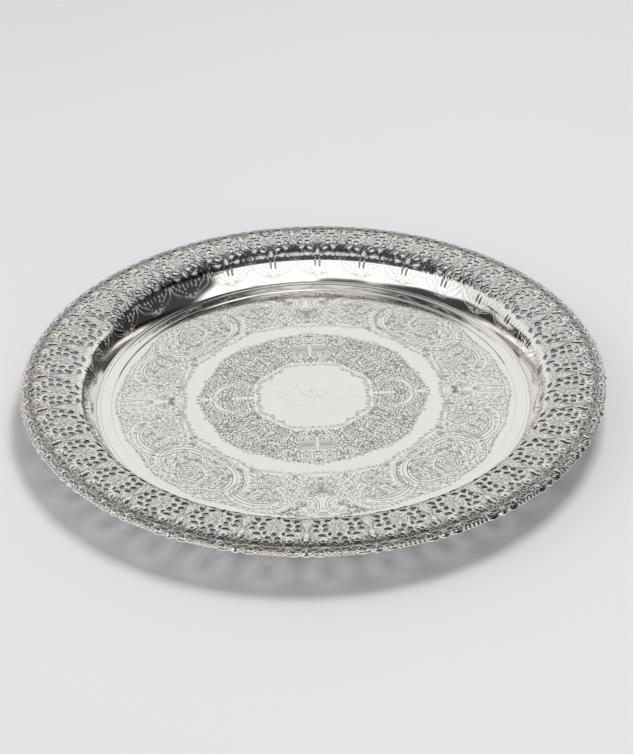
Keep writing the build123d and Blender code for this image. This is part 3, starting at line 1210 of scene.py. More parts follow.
@dataclass
class BorderChasing:
    """The engraved lines of the border: lobes on the wall and outlines on the crown."""

    border: BorderSheet
    line: float = 0.30

    def strokes(self) -> tuple[Burin, Burin]:
        """Draws one repeat's lines in flat coordinates.

        Returns:
            The lines of the crown and the lines of the wall.
        """
        burin, polished = Burin(brim=0.05, keel=0.015), Burin(brim=0.09, keel=0.01)
        along = self.border.section.along_at
        flat = self.border.flat_radius
        rng = random.Random(29)

        def spot(deg: float, radius: float) -> Point:
            """The flat place at an angle off the repeat's middle and a radius."""
            return (math.radians(deg) * flat, along(radius))

        def wall(deg: float, height: float) -> Point:
            """The flat place at an angle off the repeat's middle and a length up the face."""
            return (math.radians(deg) * flat, height)

        half = self.border.sizes.pitch / 2
        for side in (-1, 1):
            # the double line of the lobe, from between the repeats down to its middle
            for inset, width in ((0.0, 1.3), (1.5, 0.9)):
                lobe = [wall(side * (half - 0.15 - inset * 0.10), 19.0),
                        wall(side * (half - 0.35 - inset * 0.16), 14.5),
                        wall(side * (half - 1.25 - inset * 0.25), 10.2 + inset * 0.5),
                        wall(side * (half - 2.9 - inset * 0.15), 7.6 + inset * 0.9),
                        wall(side * 1.2, 6.3 + inset * 0.9)]
                polished.cut(smooth_path(lobe, 0.9), self.line * width, True)
            # foliage that hangs from the lobe's middle
            for reach, lean, size in ((0.5, -105, 2.6), (1.25, -60, 2.4), (1.9, -25, 2.2), (1.0, -140, 2.0),
                                      (2.6, -50, 2.0), (0.35, 60, 2.4), (1.2, 35, 2.2)):
                way = 90 + side * (lean + 90)
                polished.leaf(wall(side * reach, 6.1 + 0.25 * reach), way, size, size * 0.5, self.line)
            curl = smooth_path([wall(side * 0.4, 6.0), wall(side * 1.1, 4.6), wall(side * 1.9, 4.9)], 0.7)
            polished.cut(curl, self.line * 1.2)
            polished.cut(curl_from(curl, 0.7, 0.9, side), self.line)
            # leaves inside the lobe, round the slots
            for deg, height, lean in ((1.6, 12.0, 70), (2.5, 11.0, 40), (3.4, 12.5, 65), (2.1, 14.5, 95),
                                      (3.1, 15.0, 80), (4.2, 14.2, 60), (4.9, 16.5, 80), (1.5, 9.3, 20)):
                way = lean if side > 0 else 180 - lean
                polished.leaf(wall(side * deg, height), way, 2.9, 1.3, self.line * 0.75, 1)
            # lines that flare up to the smooth leaf
            for reach in (2.3, 1.5):
                stem = [spot(side * (half - reach), 165.5), spot(side * (half - reach * 0.72), 171.5),
                        spot(side * (half - reach * 0.34), 176.5), spot(side * (half - 0.12), 180.8)]
                burin.cut(smooth_path(stem, 1.4), self.line * 0.9, True)
            # the smooth leaf's outline
            rib = [spot(side * (half - math.degrees(wide / radius)), radius) for radius, wide in
                   ((180.9, 0.15), (182.6, 1.25), (184.8, 2.05), (187.2, 2.35), (189.2, 1.75), (190.5, 0.2))]
            burin.cut(smooth_path(rib, 0.9), self.line * 1.5, True)
            # the flower's ring, boss and petals
            middle = spot(side * self.border.flower_off, self.border.flower_radius)
            burin.ring(middle, 3.05, self.line * 1.1)
            burin.ring(middle, 0.85, self.line * 1.2)
            for petal in range(6):
                edge = [np.add(middle, polar(reach, 60.0 * petal)) for reach in (1.3, 2.9)]
                burin.cut(edge, self.line * 1.3)
            burin.keep_clear(np.array([np.add(middle, polar(2.0, turn)) for turn in range(0, 360, 24)]))
            # feathers at the smooth leaf
            for r in (183.5, 185.5, 187.5):
                burin.leaf(spot(side * (half - 0.95), r), 90 - side * 60, 2.0, 0.9, self.line)
        # part of an outline round each opening
        for hole in self.border.outlines():
            centre = hole.mean(0)
            reach = np.linalg.norm(hole - centre, axis=1)
            grown = centre + (hole - centre) * (1 + 0.75 / np.maximum(reach, 0.6))[:, None]
            burin.keep_clear(hole)
            burin.keep_clear(centre[None, :])
            start = rng.randrange(len(grown))
            part = np.roll(grown, -start, 0)[: int(len(grown) * 0.7)]
            burin.cut(part, self.line * 0.72)
        edge = math.radians(half) * flat
        for inner, outer, pitch, width in ((161.5, 186.0, 1.6, 0.14), (186.0, 194.2, 1.4, 0.23)):
            box = (-edge, along(inner), edge, along(outer))
            burin.ground(lambda p: np.abs(p[:, 0]) < edge - 0.8, box, pitch, width, rng, 0.95,
                         lambda p: 90.0 + 25.0 * math.sin(p[0] * 0.5))
        for radius, swing in ((190.6, 0.55), (192.6, 0.5)):
            wave = [spot(deg, radius + swing * math.cos(math.radians(deg * 360 / half))) for deg in
                    np.linspace(-half, half, 33)]
            burin.cut(smooth_path(wave, 1.2), self.line * 0.9, True)
        return burin, polished

    def build(self, first: int, count: int, burin: Burin,
              height_at: Callable[[np.ndarray], np.ndarray]) -> bpy.types.Object:
        """Lays the lines of a run of repeats on the border.

        Args:
            first: The first repeat's number.
            count: How many repeats it has.
            burin: One repeat's lines.
            height_at: The relief's height at flat points.

        Returns:
            The piece of engraved lines.
        """
        points, faces = [], []
        total = 0
        flat_lift: list[tuple[np.ndarray, np.ndarray]] = []

        def keep(flat: np.ndarray, lift: np.ndarray) -> np.ndarray:
            """Keeps the flat places and their lifts, to be laid once for each repeat."""
            flat_lift.append((flat, lift))
            return np.column_stack([flat, lift])

        _, cell_faces = burin.mesh(keep, flip=True)
        flat, lift = flat_lift[0]
        raised = lift + height_at(flat)
        for i in range(count):
            turn = self.border.sizes.border_turn + (first + i) * self.border.sizes.pitch
            points.append(self.border.lay(flat, raised, turn))
            faces += [tuple(v + total for v in face) for face in cell_faces]
            total += len(flat)
        return make_piece("border_lines", np.vstack(points), faces)


# ---------------------------------------------------------------------------------------------
# The rim mount
# ---------------------------------------------------------------------------------------------


@dataclass
class RimMount:
    """The cast moulding over the border's edge: scrolls, beads and a scalloped outline."""

    sizes: PlateSizes
    section: BorderSection
    across: int = 84
    shell_half: float = 3.9
    arc_end: float = 12.6
    bead: float = 3.02
    lobe_depth: float = 2.1
    under_count: int = 6
    bead_share: float = 0.66
    toe_wave: float = 0.95
    edge_width: float = 2.6

    def outline(self) -> np.ndarray:
        """Draws the moulding's section.

        Returns:
            The closed section, from its inner toe over the top to its underside.
        """
        z = self.sizes
        crown = self.section.place(np.array([self.section.along_at(z.mount_inner), self.section.length]))
        toe_z, edge_z = float(crown[1][0]), float(crown[1][1])
        top = [(z.mount_inner - 0.1, toe_z + 0.02), (z.mount_inner + 0.9, toe_z - 0.04),
               (z.mount_inner + 2.2, toe_z - 0.17), (z.edge_radius - 1.0, edge_z + 0.40),
               (z.edge_radius + 0.3, edge_z + 0.12), (z.edge_radius + 1.4, edge_z - 0.42),
               (z.overall_radius - 1.1, edge_z - 0.94), (z.overall_radius - 0.42, edge_z - 1.20),
               (z.overall_radius, edge_z - 1.74)]
        under = [(z.overall_radius - 0.05, edge_z - 1.92), (z.overall_radius - 1.4, edge_z - 2.05),
                 (z.edge_radius + 0.5, edge_z - 1.85), (z.edge_radius + 0.1, edge_z - 1.3),
                 (z.edge_radius + 0.08, edge_z - 0.1), (z.edge_radius - 1.8, edge_z + 0.35)]
        upper = smooth_path(top, 0.42)
        return np.vstack([upper, np.array(under)])

    def edge(self, deg: float) -> float:
        """Draws the scalloped edge: a shell between two repeats, a long arc, then a small bead.

        Args:
            deg: The angle off the middle of the repeat.

        Returns:
            How far out the edge reaches, from 0 at the deepest notch to 1.
        """
        reach = (self.sizes.pitch / 2 - abs(deg)) * math.pi / 180 * self.sizes.overall_radius
        if reach < self.shell_half:
            return 1.0 - 0.9 * (reach / self.shell_half) ** 1.2
        if reach < self.arc_end:
            share = (reach - self.shell_half) / (self.arc_end - self.shell_half)
            return 0.10 + 0.72 * math.sin(math.pi * share) ** 0.6
        share = (reach - self.arc_end) / self.bead
        return 0.10 + 0.50 * abs(math.sin(math.pi * share)) ** 0.6

    def relief(self, deg: np.ndarray, share: np.ndarray) -> np.ndarray:
        """Height of the cast ornament.

        Args:
            deg: The angle off the middle of the repeat.
            share: The share of the way across the top, from the inner toe.

        Returns:
            The heights off the moulding's face.
        """
        pitch = self.sizes.pitch
        off = np.abs(deg)
        # two scrolls that cross
        swing = TURN * 3.0 * off / pitch + 0.6
        height = 0.30 * ridge(share - (0.40 + 0.16 * np.sin(swing)), 0.055)
        height += 0.24 * ridge(share - (0.40 - 0.17 * np.sin(swing)), 0.05)
        # large beads outside them, small ones along the toe and pits between
        beads = np.abs(np.sin(math.pi * 15 * deg / pitch + 0.5))
        height += 0.46 * beads**0.6 * ridge(share - self.bead_share, 0.09)
        small = np.abs(np.sin(math.pi * 21 * deg / pitch))
        height += 0.16 * small * ridge(share - 0.16, 0.08)
        drift = 0.8 * np.sin(TURN * 5 * off / pitch)
        pits = np.sin(TURN * 13 * deg / pitch) * np.sin(TURN * 3.2 * share + drift)
        height += 0.10 * pits
        # the shell between two repeats and a rose on each side of the middle
        shell = arc_length(pitch / 2 - off, 197)
        fan = np.clip(1 - (shell / 2.3) ** 2 - ((share - 0.62) / 0.40) ** 2, 0, 1)
        height = np.maximum(height, 0.66 * fan**0.5 * (0.65 + 0.35 * np.cos(shell * 5.2)))
        rose = arc_length(off - 3.1, 196)
        knob = np.clip(1 - (rose / 1.7) ** 2 - ((share - 0.34) / 0.22) ** 2, 0, 1)
        return np.maximum(height, 0.62 * knob**0.5)

    def build(self) -> bpy.types.Object:
        """Builds the whole ring with its ornament.

        Returns:
            The rim mount.
        """
        z = self.sizes
        ring = self.outline()
        top_count = len(ring) - self.under_count
        count = len(ring)
        nxt, prv = np.roll(ring, -1, 0), np.roll(ring, 1, 0)
        along = nxt - prv
        normal = np.stack([-along[:, 1], along[:, 0]], 1)
        normal /= np.linalg.norm(normal, axis=1, keepdims=True)
        share = np.clip(np.arange(count) / (top_count - 1), 0, 1)
        is_top = np.arange(count) < top_count
        total = self.across * z.repeats
        angles = np.arange(total) * 360.0 / total
        points, hollow = [], []
        for deg in angles:
            local = (deg + z.pitch / 2) % z.pitch - z.pitch / 2
            height = np.where(is_top, self.relief(np.full(count, local), share), 0.0)
            notch = self.edge(local)
            reach = self.lobe_depth * (notch - 1.0)
            outer = np.clip((ring[:, 0] - (z.overall_radius - self.edge_width)) / self.edge_width, 0, 1)
            place = ring + normal * (height * (1 - outer))[:, None]
            toe = np.clip(1 - share * 7, 0, 1) * is_top
            place[:, 0] = place[:, 0] + self.toe_wave * toe * math.sin(TURN * 5.0 * abs(local) / z.pitch)
            place[:, 0] = place[:, 0] + reach * outer
            place[:, 1] = place[:, 1] - 0.35 * (1.0 - notch) * outer * np.where(is_top, 1, 0.2)
            place[:, 0] = np.minimum(place[:, 0], z.overall_radius)
            turn = math.radians(deg + z.border_turn)
            points.append(np.stack(
                [place[:, 0] * math.cos(turn), place[:, 0] * math.sin(turn), place[:, 1]], 1))
            deep = np.clip(0.80 - height * 1.7, 0, 1) * is_top * np.clip((0.9 - share) / 0.2, 0, 1)
            hollow.append(np.maximum(deep, 0.30 * (1 - notch) * outer))
        faces = []
        for i in range(total):
            j = (i + 1) % total
            for k in range(count):
                m = (k + 1) % count
                faces.append((i * count + k, j * count + k, j * count + m, i * count + m))
        piece = make_piece("rim", np.vstack(points), faces, np.concatenate(hollow))
        only(piece)
        bpy.ops.object.mode_set(mode="EDIT")
        bpy.ops.mesh.select_all(action="SELECT")
        bpy.ops.mesh.normals_make_consistent(inside=False)
        bpy.ops.object.mode_set(mode="OBJECT")
        return piece


# ---------------------------------------------------------------------------------------------
# The engraving on the floor
# ---------------------------------------------------------------------------------------------


@dataclass
class FloorEngraving:
    """The wreath and the outer band, drawn for one quarter and mirrored to the others."""

    sizes: PlateSizes
    line: float = 0.31
    wreath_inner: float = 41.0
    wreath_outer: float = 76.5
    band_inner: float = 92.5
    band_outer: float = 134.0

    def outer_band(self, burin: Burin, rng: random.Random) -> None:
        """Draws the outer band's motifs: the corner frame, the side scrolls and the axes.

        Args:
            burin: What the strokes are added to.
            rng: The seeded source of small differences.
        """
        self.corner_frame(burin, rng)
        for mirror in (False, True):
            self.side_scrolls(burin, mirror)
        self.pillar(burin)
        self.vase(burin)

    def corner_frame(self, burin: Burin, rng: random.Random) -> None:
        """Draws the frame on the diagonal: two scrolls and a leafy double line round a flower.

        Args:
            burin: What the strokes are added to.
            rng: The seeded source of small differences.
        """
        line = self.line
        burin.rosette(on_diagonal(0, 120), 9.3, 6, line * 1.15, 15)
        for side in (-1, 1):
            spine = [(4.6, 101.8), (9.5, 98.4), (19.5, 100.8), (26.8, 108.0), (28.4, 115.6), (24.8, 122.2),
                     (18.6, 125.0)]
            burin.scroll([on_diagonal(side * a, b) for a, b in spine], 3.0, line, side * 1, (0.9, 0.9))
            frame_line = [(0.0, 94.0), (7.0, 92.8), (14.0, 94.6), (23.0, 95.0), (31.0, 101.0), (36.0, 109.0),
                          (35.4, 118.0), (31.5, 126.0), (25.0, 131.0)]
            outer = smooth_path([on_diagonal(side * a, b) for a, b in frame_line], 1.0)
            burin.cut(outer, line * 1.3, True)
            inner = offset_path(outer, side * 1.7)
            burin.cut(inner, line * 0.8, True)
            burin.keep_clear(outer)
            burin.keep_clear(inner)
            for i in range(3, len(outer) - 3, 4):
                way = -side_normals(outer)[i] * side
                lean = math.degrees(math.atan2(way[1], way[0])) + rng.uniform(-25, 25)
                burin.leaf(tuple(outer[i]), lean, 2.6, 1.5, line)
            for a, b, lean in ((12.0, 108.0, 60), (17.5, 108.5, 95), (12.5, 114.5, 30), (20.5, 114.0, 110),
                               (13.5, 120.0, 0), (8.0, 106.5, 80)):
                burin.leaf(on_diagonal(side * a, b), 45 + 90 - side * (90 - lean) * 0.8, 5.2, 2.6, line, 2)

    def side_scrolls(self, burin: Burin, mirror: bool) -> None:
        """Draws the scroll and its flower beside one axis.

        Args:
            burin: What the strokes are added to.
            mirror: False for the X axis, True for its mirror image beside the Y axis.
        """
        line = self.line

        def at(radius: float, degrees: float) -> Point:
            """A point given by its radius and its angle from the axis."""
            return polar(radius, 90 - degrees if mirror else degrees)

        def leaves(places: Sequence[tuple[float, float, float]], length: float, width: float) -> None:
            """Adds leaves, each placed by its radius, its angle and its lean."""
            for r, d, lean in places:
                burin.leaf(at(r, d), (90 - d - lean) if mirror else (d + lean), length, width, line, 2)

        burin.rosette(at(102.3, 19.0), 7.9, 6, line * 1.05, 10)
        spine = [(108.0, 27.2), (114.0, 28.9), (120.2, 28.2), (124.0, 25.2), (125.8, 21.0), (124.0, 16.6),
                 (118.4, 13.4)]
        burin.scroll([at(r, d) for r, d in spine], 2.7, line, -1 if mirror else 1, (0.85, 0.95))
        around = ((112, 32.0), (122, 31.5), (129.5, 26.0), (131.3, 20.0), (129.0, 13.8), (122.0, 10.2))
        contour = smooth_path([at(r, d) for r, d in around], 1.0)
        burin.cut(contour, line * 0.95, True)
        burin.keep_clear(contour)
        leaves(((111.0, 22.5, 10), (114.5, 19.0, -10), (117.0, 23.0, 40), (110.5, 16.0, -40),
                (119.5, 18.5, 60)), 4.6, 2.3)
        leaves(((96.0, 27.5, 150), (99.0, 30.5, 120), (96.0, 10.5, 200), (106.5, 10.8, -30),
                (104.0, 33.0, 30)), 5.0, 2.4)

    def pillar(self, burin: Burin) -> None:
        """Draws the pillar of bars along the X axis, between small flowers.

        Args:
            burin: What the strokes are added to.
        """
        line = self.line
        burin.rosette((102.8, 5.6), 3.4, 6, line * 0.9)
        for height, start, end in ((2.2, 111.0, 132.0), (4.3, 113.0, 131.0), (7.6, 114.0, 129.0)):
            bar = smooth_path([(start, height), ((start + end) / 2, height + 0.4), (end, height)], 1.5)
            burin.cut(bar, line * 0.85, True)
            burin.keep_clear(bar)
            burin.cut(curl_from(bar, 1.2, 0.8, 1), line * 0.9)
        burin.leaf((110.0, 0.0), 0, 7.0, 3.0, line, 2)
        for lean in (-20, 20, 55, 90):
            burin.leaf((96.5, 1.5), lean, 4.6, 2.0, line, 1)
    def vase(self, burin: Burin) -> None:
        """Draws the vase along the Y axis, with a spray above it.

        Args:
            burin: What the strokes are added to.
        """
        line = self.line
        for path in ([(5.8, 131.6), (2.7, 127.5), (2.2, 121.0), (4.2, 116.0), (9.5, 112.8)],
                     [(8.2, 131.2), (4.6, 127.0), (4.0, 121.5), (6.0, 117.6), (11.5, 115.4)]):
            neck = smooth_path(path, 1.0)
            burin.cut(neck, line * 1.25, True)
            burin.keep_clear(neck)
        for points, curl in (([(6.2, 130.0), (9.6, 131.0), (13.0, 129.0), (14.2, 125.4)], 1),
                             ([(11.5, 115.4), (15.5, 114.6), (18.6, 117.0), (19.0, 120.6)], 1),
                             ([(7.4, 119.0), (8.4, 123.0), (11.6, 124.4)], -1)):
            branch = smooth_path(points, 0.9)
            burin.cut(branch, line * 1.2)
            burin.cut(curl_from(branch, 1.5, 1.0, curl), line)
            burin.keep_clear(branch)
        for x, y, lean in ((16.0, 123.5, 70), (18.5, 124.5, 40), (20.5, 126.5, 20), (15.5, 128.5, 60),
                           (19.5, 130.0, 0), (9.5, 121.0, 40), (23.5, 129.0, 10)):
            burin.leaf((x, y), lean, 4.2, 1.9, line * 0.9, 2)
        for lean, size in ((86, 15.0), (66, 13.5), (46, 12.0), (24, 10.0)):
            reach = polar(size, lean)
            bent = (reach[0] * 0.35, 115.0 - reach[1] * 0.5)
            stalk = smooth_path([(0.8, 115.0), bent, (reach[0], 115.0 - reach[1])], 1.0)
            burin.cut(stalk, line * 0.9)
            for i in range(5, len(stalk) - 1, 3):
                for side in (-1, 1):
                    burin.leaf(tuple(stalk[i]), -lean + side * 38, 3.0, 1.2, line * 0.75)
            burin.keep_clear(stalk)
        burin.rosette((13.2, 120.8), 3.0, 5, line * 0.85)

    def wreath(self, burin: Burin) -> None:
        """Draws the wreath round the middle: flowers, scrolls, latticed panels and leaves.

        Args:
            burin: What the strokes are added to.
        """
        line = self.line
        burin.rosette((7.5, 70.2), 5.1, 6, line)
        burin.rosette(polar(70.9, 18.5), 3.6, 6, line)
        burin.rosette(polar(51.2, 17.7), 4.0, 6, line)
        burin.rosette(polar(52.0, 63.0), 3.4, 6, line)
        for spine, band, side, curls in (
            ([(54.5, 14.6), (60.5, 15.8), (66.2, 12.2), (69.0, 6.0), (69.4, 0.0)], 3.6, -1, (0.8, 0.0)),
            ([(1.2, 50.6), (4.0, 46.8), (8.8, 46.0), (13.0, 48.6), (14.2, 52.6)], 1.9, 1, (0.7, 0.8)),
            ([(16.0, 62.5), (21.0, 60.5), (24.5, 64.0), (22.8, 69.0), (18.0, 71.0)], 1.9, 1, (0.7, 0.8)),
        ):
            burin.scroll(spine, band, line, side, curls, False)
        burin.leaf((56.5, 0.0), 0, 9.0, 6.0, line * 1.1, 4)
        burin.lattice((1.3, 52.6), (12.0, 63.4), 1.9, line * 0.5)
        for path in ([(1.0, 51.5), (1.0, 56.6), (10.5, 56.6)], [(1.0, 64.8), (1.0, 58.4), (10.5, 58.4)]):
            burin.cut(np.array(path), line * 1.2, True)
        burin.leaf((0.0, 45.6), -90, 5.2, 3.4, line * 1.3, 2)
        burin.ring((0.0, 46.6), 0.9, line)
        for base, lean, size in ((50.0, 45, 11.0), (51.0, 30, 10.0), (51.0, 60, 10.0), (54.0, 14, 9.0),
                                 (54.0, 76, 9.0), (61.0, 38, 9.0), (61.0, 52, 9.0)):
            spot = polar(base, 45 + (lean - 45) * 0.45)
            burin.leaf(spot, lean, size, size * 0.36, line, 4)
            burin.keep_clear(smooth_path([spot, tuple(np.add(spot, polar(size, lean)))], 1.0))
        for turn in (27.0, 33.0, 57.0, 63.5):
            burin.leaf(polar(66.0, turn), turn + 20, 6.0, 2.8, line, 3)
            burin.leaf(polar(47.0, turn), turn - 150, 5.4, 2.6, line, 3)
    def fringe(self, burin: Burin, radius: float, outwards: bool, size: float, rng: random.Random) -> None:
        """Draws the pointed leaves along an edge of a band.

        Args:
            burin: What the strokes are added to.
            radius: The edge's radius.
            outwards: Whether the leaves point away from the middle.
            size: A leaf's usual length.
            rng: The seeded source of small differences.
        """
        turn = 0.6
        while turn < 90:
            wave = 1.2 * math.cos(math.radians(8 * turn)) + 0.8 * math.cos(math.radians(20 * turn))
            base = polar(radius - 0.6 + (wave if outwards else -wave), turn)
            length = size * rng.uniform(0.6, 1.35)
            way = (turn if outwards else turn + 180) + rng.uniform(-30, 30)
            burin.leaf(base, way, length, length * 0.38, self.line * 0.62)
            turn += math.degrees(1.75 / radius)

    def strokes(self) -> Burin:
        """Draws one quarter.

        Returns:
            The burin with all the quarter's strokes.
        """
        burin = Burin()
        rng = random.Random(7)
        self.outer_band(burin, rng)
        self.wreath(burin)

        def ring(low: float, high: float) -> Callable[[np.ndarray], np.ndarray]:
            """Makes the test for a band between two wavy circles."""
            def test(p: np.ndarray) -> np.ndarray:
                """Tells which points lie in the band, inside the quarter.

                Args:
                    p: The points.

                Returns:
                    Whether each point lies there.
                """
                r = np.hypot(p[:, 0], p[:, 1])
                turn = np.degrees(np.arctan2(p[:, 1], p[:, 0]))
                wave = 1.2 * np.cos(np.radians(8 * turn))
                return (r > low - wave) & (r < high + wave) & (p[:, 0] > 0.3) & (p[:, 1] > 0.3)
            return test

        def flow(p: np.ndarray) -> float:
            """The way that the ground's leaves point at a place, in degrees."""
            turn = math.degrees(math.atan2(p[1], p[0]))
            return turn + 50.0 * math.sin(math.radians(turn * 8)) + 0.8 * math.hypot(*p)

        band, wreath = (self.band_inner, self.band_outer), (self.wreath_inner + 1, self.wreath_outer)
        burin.ground(ring(*band), (0, 0, 134, 134), 1.95, self.line * 0.64, rng, 1.3, flow)
        burin.ground(ring(*wreath), (0, 0, 78, 78), 1.5, self.line * 1.0, rng, 1.0, flow)
        for radius, outwards, size in ((self.wreath_outer, True, 3.0), (self.wreath_inner, False, 3.4),
                                       (self.band_inner, False, 3.2), (self.band_outer, True, 2.0)):
            self.fringe(burin, radius, outwards, size, rng)
        return burin

    def build(self) -> list[bpy.types.Object]:
        """Builds the four quarters.

        Returns:
            The four pieces of engraving.
        """
        burin = self.strokes()
        height = self.sizes.floor_height
        pieces = []
        for number, (sx, sy) in enumerate(((1, 1), (-1, 1), (-1, -1), (1, -1))):
            def lay(flat: np.ndarray, lift: np.ndarray) -> np.ndarray:
                """Lays flat points on the floor, mirrored to this quarter."""
                return np.column_stack([flat[:, 0] * sx, flat[:, 1] * sy, lift + height])
            points, faces = burin.mesh(lay, flip=sx * sy < 0)
            pieces.append(make_piece(f"engraving_{number + 1}", points, faces))
        return pieces


@dataclass
class Scratches:
    """Fine hairlines from use, mostly on the plain middle of the floor."""

    sizes: PlateSizes
    count: int = 46

    def build(self) -> bpy.types.Object:
        """Builds the hairlines, seeded so that they are the same each time.

        Returns:
            The piece of hairlines.
        """
        rng = random.Random(11)
        burin = Burin(brim=0.02, keel=0.008)
        for i in range(self.count):
            radius = rng.uniform(0, 30) if i % 4 else rng.uniform(81, 89)
            start = np.array(polar(radius, rng.uniform(0, 360)))
            heading = rng.uniform(0, 360)
            length = rng.uniform(8, 30) if i % 4 else rng.uniform(4, 9)
            bend = rng.uniform(-0.15, 0.15) * length
            path = np.array([(-0.5 * length, 0), (0, bend), (0.5 * length, 0)])
            places = [tuple(p) for p in turned(path, heading) + start]
            burin.cut(smooth_path(places, 2.0), rng.uniform(0.05, 0.11))
        height = self.sizes.floor_height
        points, faces = burin.mesh(lambda flat, lift: np.column_stack([flat, lift + height]))
        return make_piece("hairlines", points, faces)


# ---------------------------------------------------------------------------------------------
# Studio
# ---------------------------------------------------------------------------------------------


@dataclass
class Studio:
    """The pale table, the soft lamps, the room that the silver reflects, and the camera."""

    sizes: PlateSizes
    distance: float = 6.229
    elevation: float = 34.64
    turn: float = 2.0
    roll: float = -1.29
    lens: float = 86.0
    shift: tuple[float, float] = (0.0040, 0.0242)
    table_colour: tuple[float, float, float] = (0.80, 0.80, 0.828)
    dark_below: float = 0.20
    dark_above: float = 0.77
    dark_behind: float = 0.08

    def table(self) -> None:
        """Lays the pale table that the plate stands on, with painted shade that darkens its colour towards
        the back and the right.
        """
        bpy.ops.object.select_all(action="DESELECT")
        bpy.ops.mesh.primitive_plane_add(size=9.0, location=(0, 0, -0.0002))
        table = bpy.context.object
        table.name = "table"
        material = bpy.data.materials.new("table_paper")
        board = NodeBoard(material)
        where = board.place.outputs["Object"]
        shader = board.nodes["Principled BSDF"]
        shader.inputs["Roughness"].default_value = 0.85
        # painted shade: the colour is blended to a darker tone towards the back and the right, standing in
        # for the lamps' falloff; the noise adds random tone
        split = board.nodes.new("ShaderNodeSeparateXYZ")
        board.links.new(where, split.inputs["Vector"])
        slant = board.combine("MULTIPLY_ADD", split.outputs["X"], 0.5, split.outputs["Y"])
        painted_light_falloff = board.spread(slant, -0.5, 1.3, 1.0, -0.1)
        share = board.combine("MULTIPLY_ADD", board.noise(where, 1.4), 0.15, painted_light_falloff)
        far = (*[c * 0.66 for c in self.table_colour], 1)
        board.feed(shader.inputs["Base Color"], board.blend(share, far, (*self.table_colour, 1)))
        table.data.materials.append(material)

    def lamp(self, name: str, place: tuple[float, float, float], size: tuple[float, float],
             power: float) -> None:
        """Hangs one soft lamp that faces the plate.

        Args:
            name: The lamp's name.
            place: Where it hangs.
            size: The width and height of its face.
            power: Its power in watts.
        """
        light = bpy.data.lights.new(name, "AREA")
        light.shape = "RECTANGLE"
        light.size, light.size_y = size
        light.energy = power
        light.color = (1.0, 0.995, 0.985)
        lamp = bpy.data.objects.new(name, light)
        bpy.context.scene.collection.objects.link(lamp)
        lamp.location = place
        lamp.visible_glossy = False
        lamp.rotation_euler = (Vector((0, 0, 0)) - Vector(place)).to_track_quat("-Z", "Y").to_euler()

    def room(self) -> None:
        """Makes the room round the plate.

        It has pale walls, a dark ceiling with a pale softbox overhead, and dark gaps low down and to the
        right. Each part is a range of the direction looked in.
        """
        world = bpy.data.worlds.new("room")
        bpy.context.scene.world = world
        board = NodeBoard(world)
        where = board.place.outputs["Generated"]
        split = board.nodes.new("ShaderNodeSeparateXYZ")
        board.links.new(where, split.inputs["Vector"])
        side, depth, height = split.outputs["X"], split.outputs["Y"], split.outputs["Z"]
        shapes = board.noise(where, 1.7, 1.5)

        def spread(value: bpy.types.NodeSocket, low: float, high: float, start: float,
                   end: float) -> bpy.types.NodeSocket:
            """Maps a value from one range to another with soft ends."""
            return board.spread(value, low, high, start, end, True)

        def total(first: bpy.types.NodeSocket, second: bpy.types.NodeSocket) -> bpy.types.NodeSocket:
            """Adds two values."""
            return board.combine("ADD", first, second)

        ragged = spread(shapes, 0.3, 0.7, -0.09, 0.09)
        low_edge = total(total(height, ragged), spread(depth, 0.60, 0.76, 0.0, 0.6))
        walls = spread(low_edge, self.dark_below - 0.015, self.dark_below + 0.03, 0.045, 1.0)
        lower_behind = total(height, spread(depth, -0.35, 0.30, self.dark_behind, 0.0))
        ceiling = spread(lower_behind, self.dark_above, self.dark_above + 0.05, 1.0, 0.055)
        overhead = spread(total(height, spread(shapes, 0.3, 0.7, -0.02, 0.02)), 0.945, 0.975, 0.0, 0.85)
        ceiling = board.combine("MAXIMUM", ceiling, overhead)
        leaning = total(total(side, ragged), spread(height, 0.0, 1.0, 0.0, 0.60))
        right_wall = spread(leaning, 0.93, 1.0, 1.0, 0.045)
        front_light = spread(depth, -0.35, 0.15, 1.28, 0.86)
        level = board.combine("MULTIPLY", board.combine("MULTIPLY", walls, ceiling), right_wall)
        back = board.nodes["Background"]
        board.links.new(board.combine("MULTIPLY", level, front_light), back.inputs["Color"])
        back.inputs["Strength"].default_value = 1.0

    def lights(self) -> None:
        """Hangs the lamps."""
        self.lamp("key", (0.60, 1.0, 2.15), (0.9, 0.75), 36.0)
        self.lamp("fill", (0.3, -1.7, 2.2), (1.6, 1.2), 4.0)

    def camera(self) -> None:
        """Sets up the camera, looking at the middle of the floor."""
        data = bpy.data.cameras.new("camera")
        camera = bpy.data.objects.new("camera", data)
        bpy.context.scene.collection.objects.link(camera)
        data.lens = self.lens
        data.sensor_width = 36.0
        data.sensor_fit = "AUTO"
        data.shift_x, data.shift_y = self.shift
        data.clip_end = 50.0
        reach = self.distance * self.sizes.overall_radius * MM
        turn, lift = math.radians(-90.0 - self.turn), math.radians(self.elevation)
        aim = Vector((0.0, 0.0, self.sizes.floor_height * MM))
        level = math.cos(lift)
        towards = Vector((math.cos(turn) * level, math.sin(turn) * level, math.sin(lift)))
        camera.location = aim + reach * towards
        facing = (aim - camera.location).to_track_quat("-Z", "Y").to_matrix().to_4x4()
        camera.matrix_world = Matrix.Translation(camera.location) @ facing @ Matrix.Rotation(
            math.radians(self.roll), 4, "Z")
        bpy.context.scene.camera = camera

    def build(self) -> None:
        """Sets up the whole studio."""
        self.table()
        self.room()
        self.lights()
        self.camera()
        bpy.context.scene.view_settings.view_transform = "Standard"


def sector_runs(repeats: int, largest: int) -> Iterable[tuple[int, int]]:
    """Splits the border's repeats into runs.

    Args:
        repeats: How many repeats there are.
        largest: The most that one run holds.

    Returns:
        The first repeat and the count of each run, in order.
    """
    first = 0
    while first < repeats:
        count = min(largest, repeats - first)
        yield first, count
        first += count


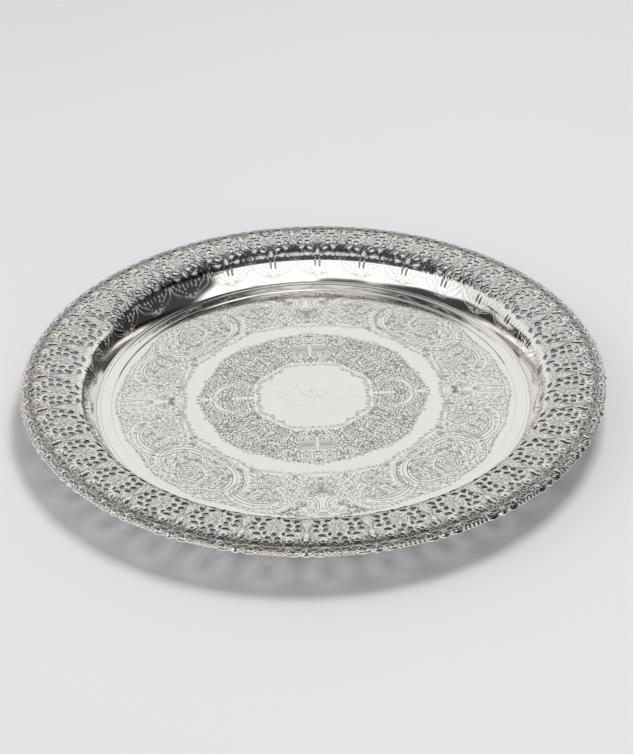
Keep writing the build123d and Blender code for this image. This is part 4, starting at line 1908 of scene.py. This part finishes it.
def main() -> None:
    """Builds the studio and every piece of the plate in order."""
    logging.basicConfig(level=logging.INFO, format="%(message)s")
    sizes = PlateSizes.from_frame()
    section = BorderSection(sizes)
    studio = Studio(sizes)
    studio.build()

    bright = SilverFinish("silver_polished", (0.94, 0.925, 0.915), 0.05, Wear.POLISHED,
                          scratch_depth=0.01).material()
    rubbed = SilverFinish("silver_rubbed", (0.925, 0.908, 0.897), 0.10, Wear.RUBBED,
                          scratch_depth=0.008).material()
    chased = SilverFinish("silver_chased", (0.91, 0.89, 0.875), 0.08, Wear.CHASED).material()
    cast = SilverFinish("silver_cast", (0.86, 0.84, 0.825), 0.14, Wear.CHASED).material()
    cut = CutFinish("cut_line", (0.24, 0.215, 0.195)).material()
    chased_cut = CutFinish("chased_line", (0.115, 0.10, 0.092), 0.35).material()
    groove = SilverFinish("silver_groove", (0.92, 0.90, 0.885), 0.22, Wear.POLISHED).material()
    back = SilverFinish("silver_back", (0.80, 0.78, 0.765), 0.35, Wear.POLISHED).material()
    # near-black painted shade on the sides of the border's openings, where their side walls fall in shadow
    punched = CutFinish("punched_side_painted_shade", (0.04, 0.035, 0.032), 0.5).material()
    hairline = CutFinish("hairline", (0.60, 0.60, 0.60), 0.3).material()

    well = WellPlate(sizes)
    well_piece = well.build()
    well.dress(well_piece, rubbed)
    wire = JointWire(sizes)
    wire.dress(wire.build(), bright)

    border = BorderSheet(sizes, section)
    cell = border.cell()
    heights = border.relief(cell[0], cell[1])
    chasing = BorderChasing(border)
    lines, wall_lines = chasing.strokes()
    first_piece = None
    for number, (first, count) in enumerate(sector_runs(sizes.repeats, REPEATS_PER_SHEET), 1):
        sheet = border.build(first, count, cell, heights)
        sheet.name = f"border_{number}"
        settle(sheet, chased, 60, (back, punched))
        for name, burin, finish in (("border_lines", lines, chased_cut),
                                    ("wall_lines", wall_lines, groove)):
            engraved = chasing.build(first, count, burin, lambda p: border.relief(p, cell[1])[0])
            engraved.name = f"{name}_{number}"
            settle(engraved, finish, 60)
        first_piece = first_piece or sheet
    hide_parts("border_wall", "pierced_crown")

    rim = RimMount(sizes, section)
    rim_piece = rim.build()
    settle(rim_piece, cast, 60)
    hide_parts("rim_mount")

    for piece in FloorEngraving(sizes).build():
        settle(piece, cut, 60)
    settle(Scratches(sizes).build(), hairline, 60)


if __name__ == "__main__":
    main()
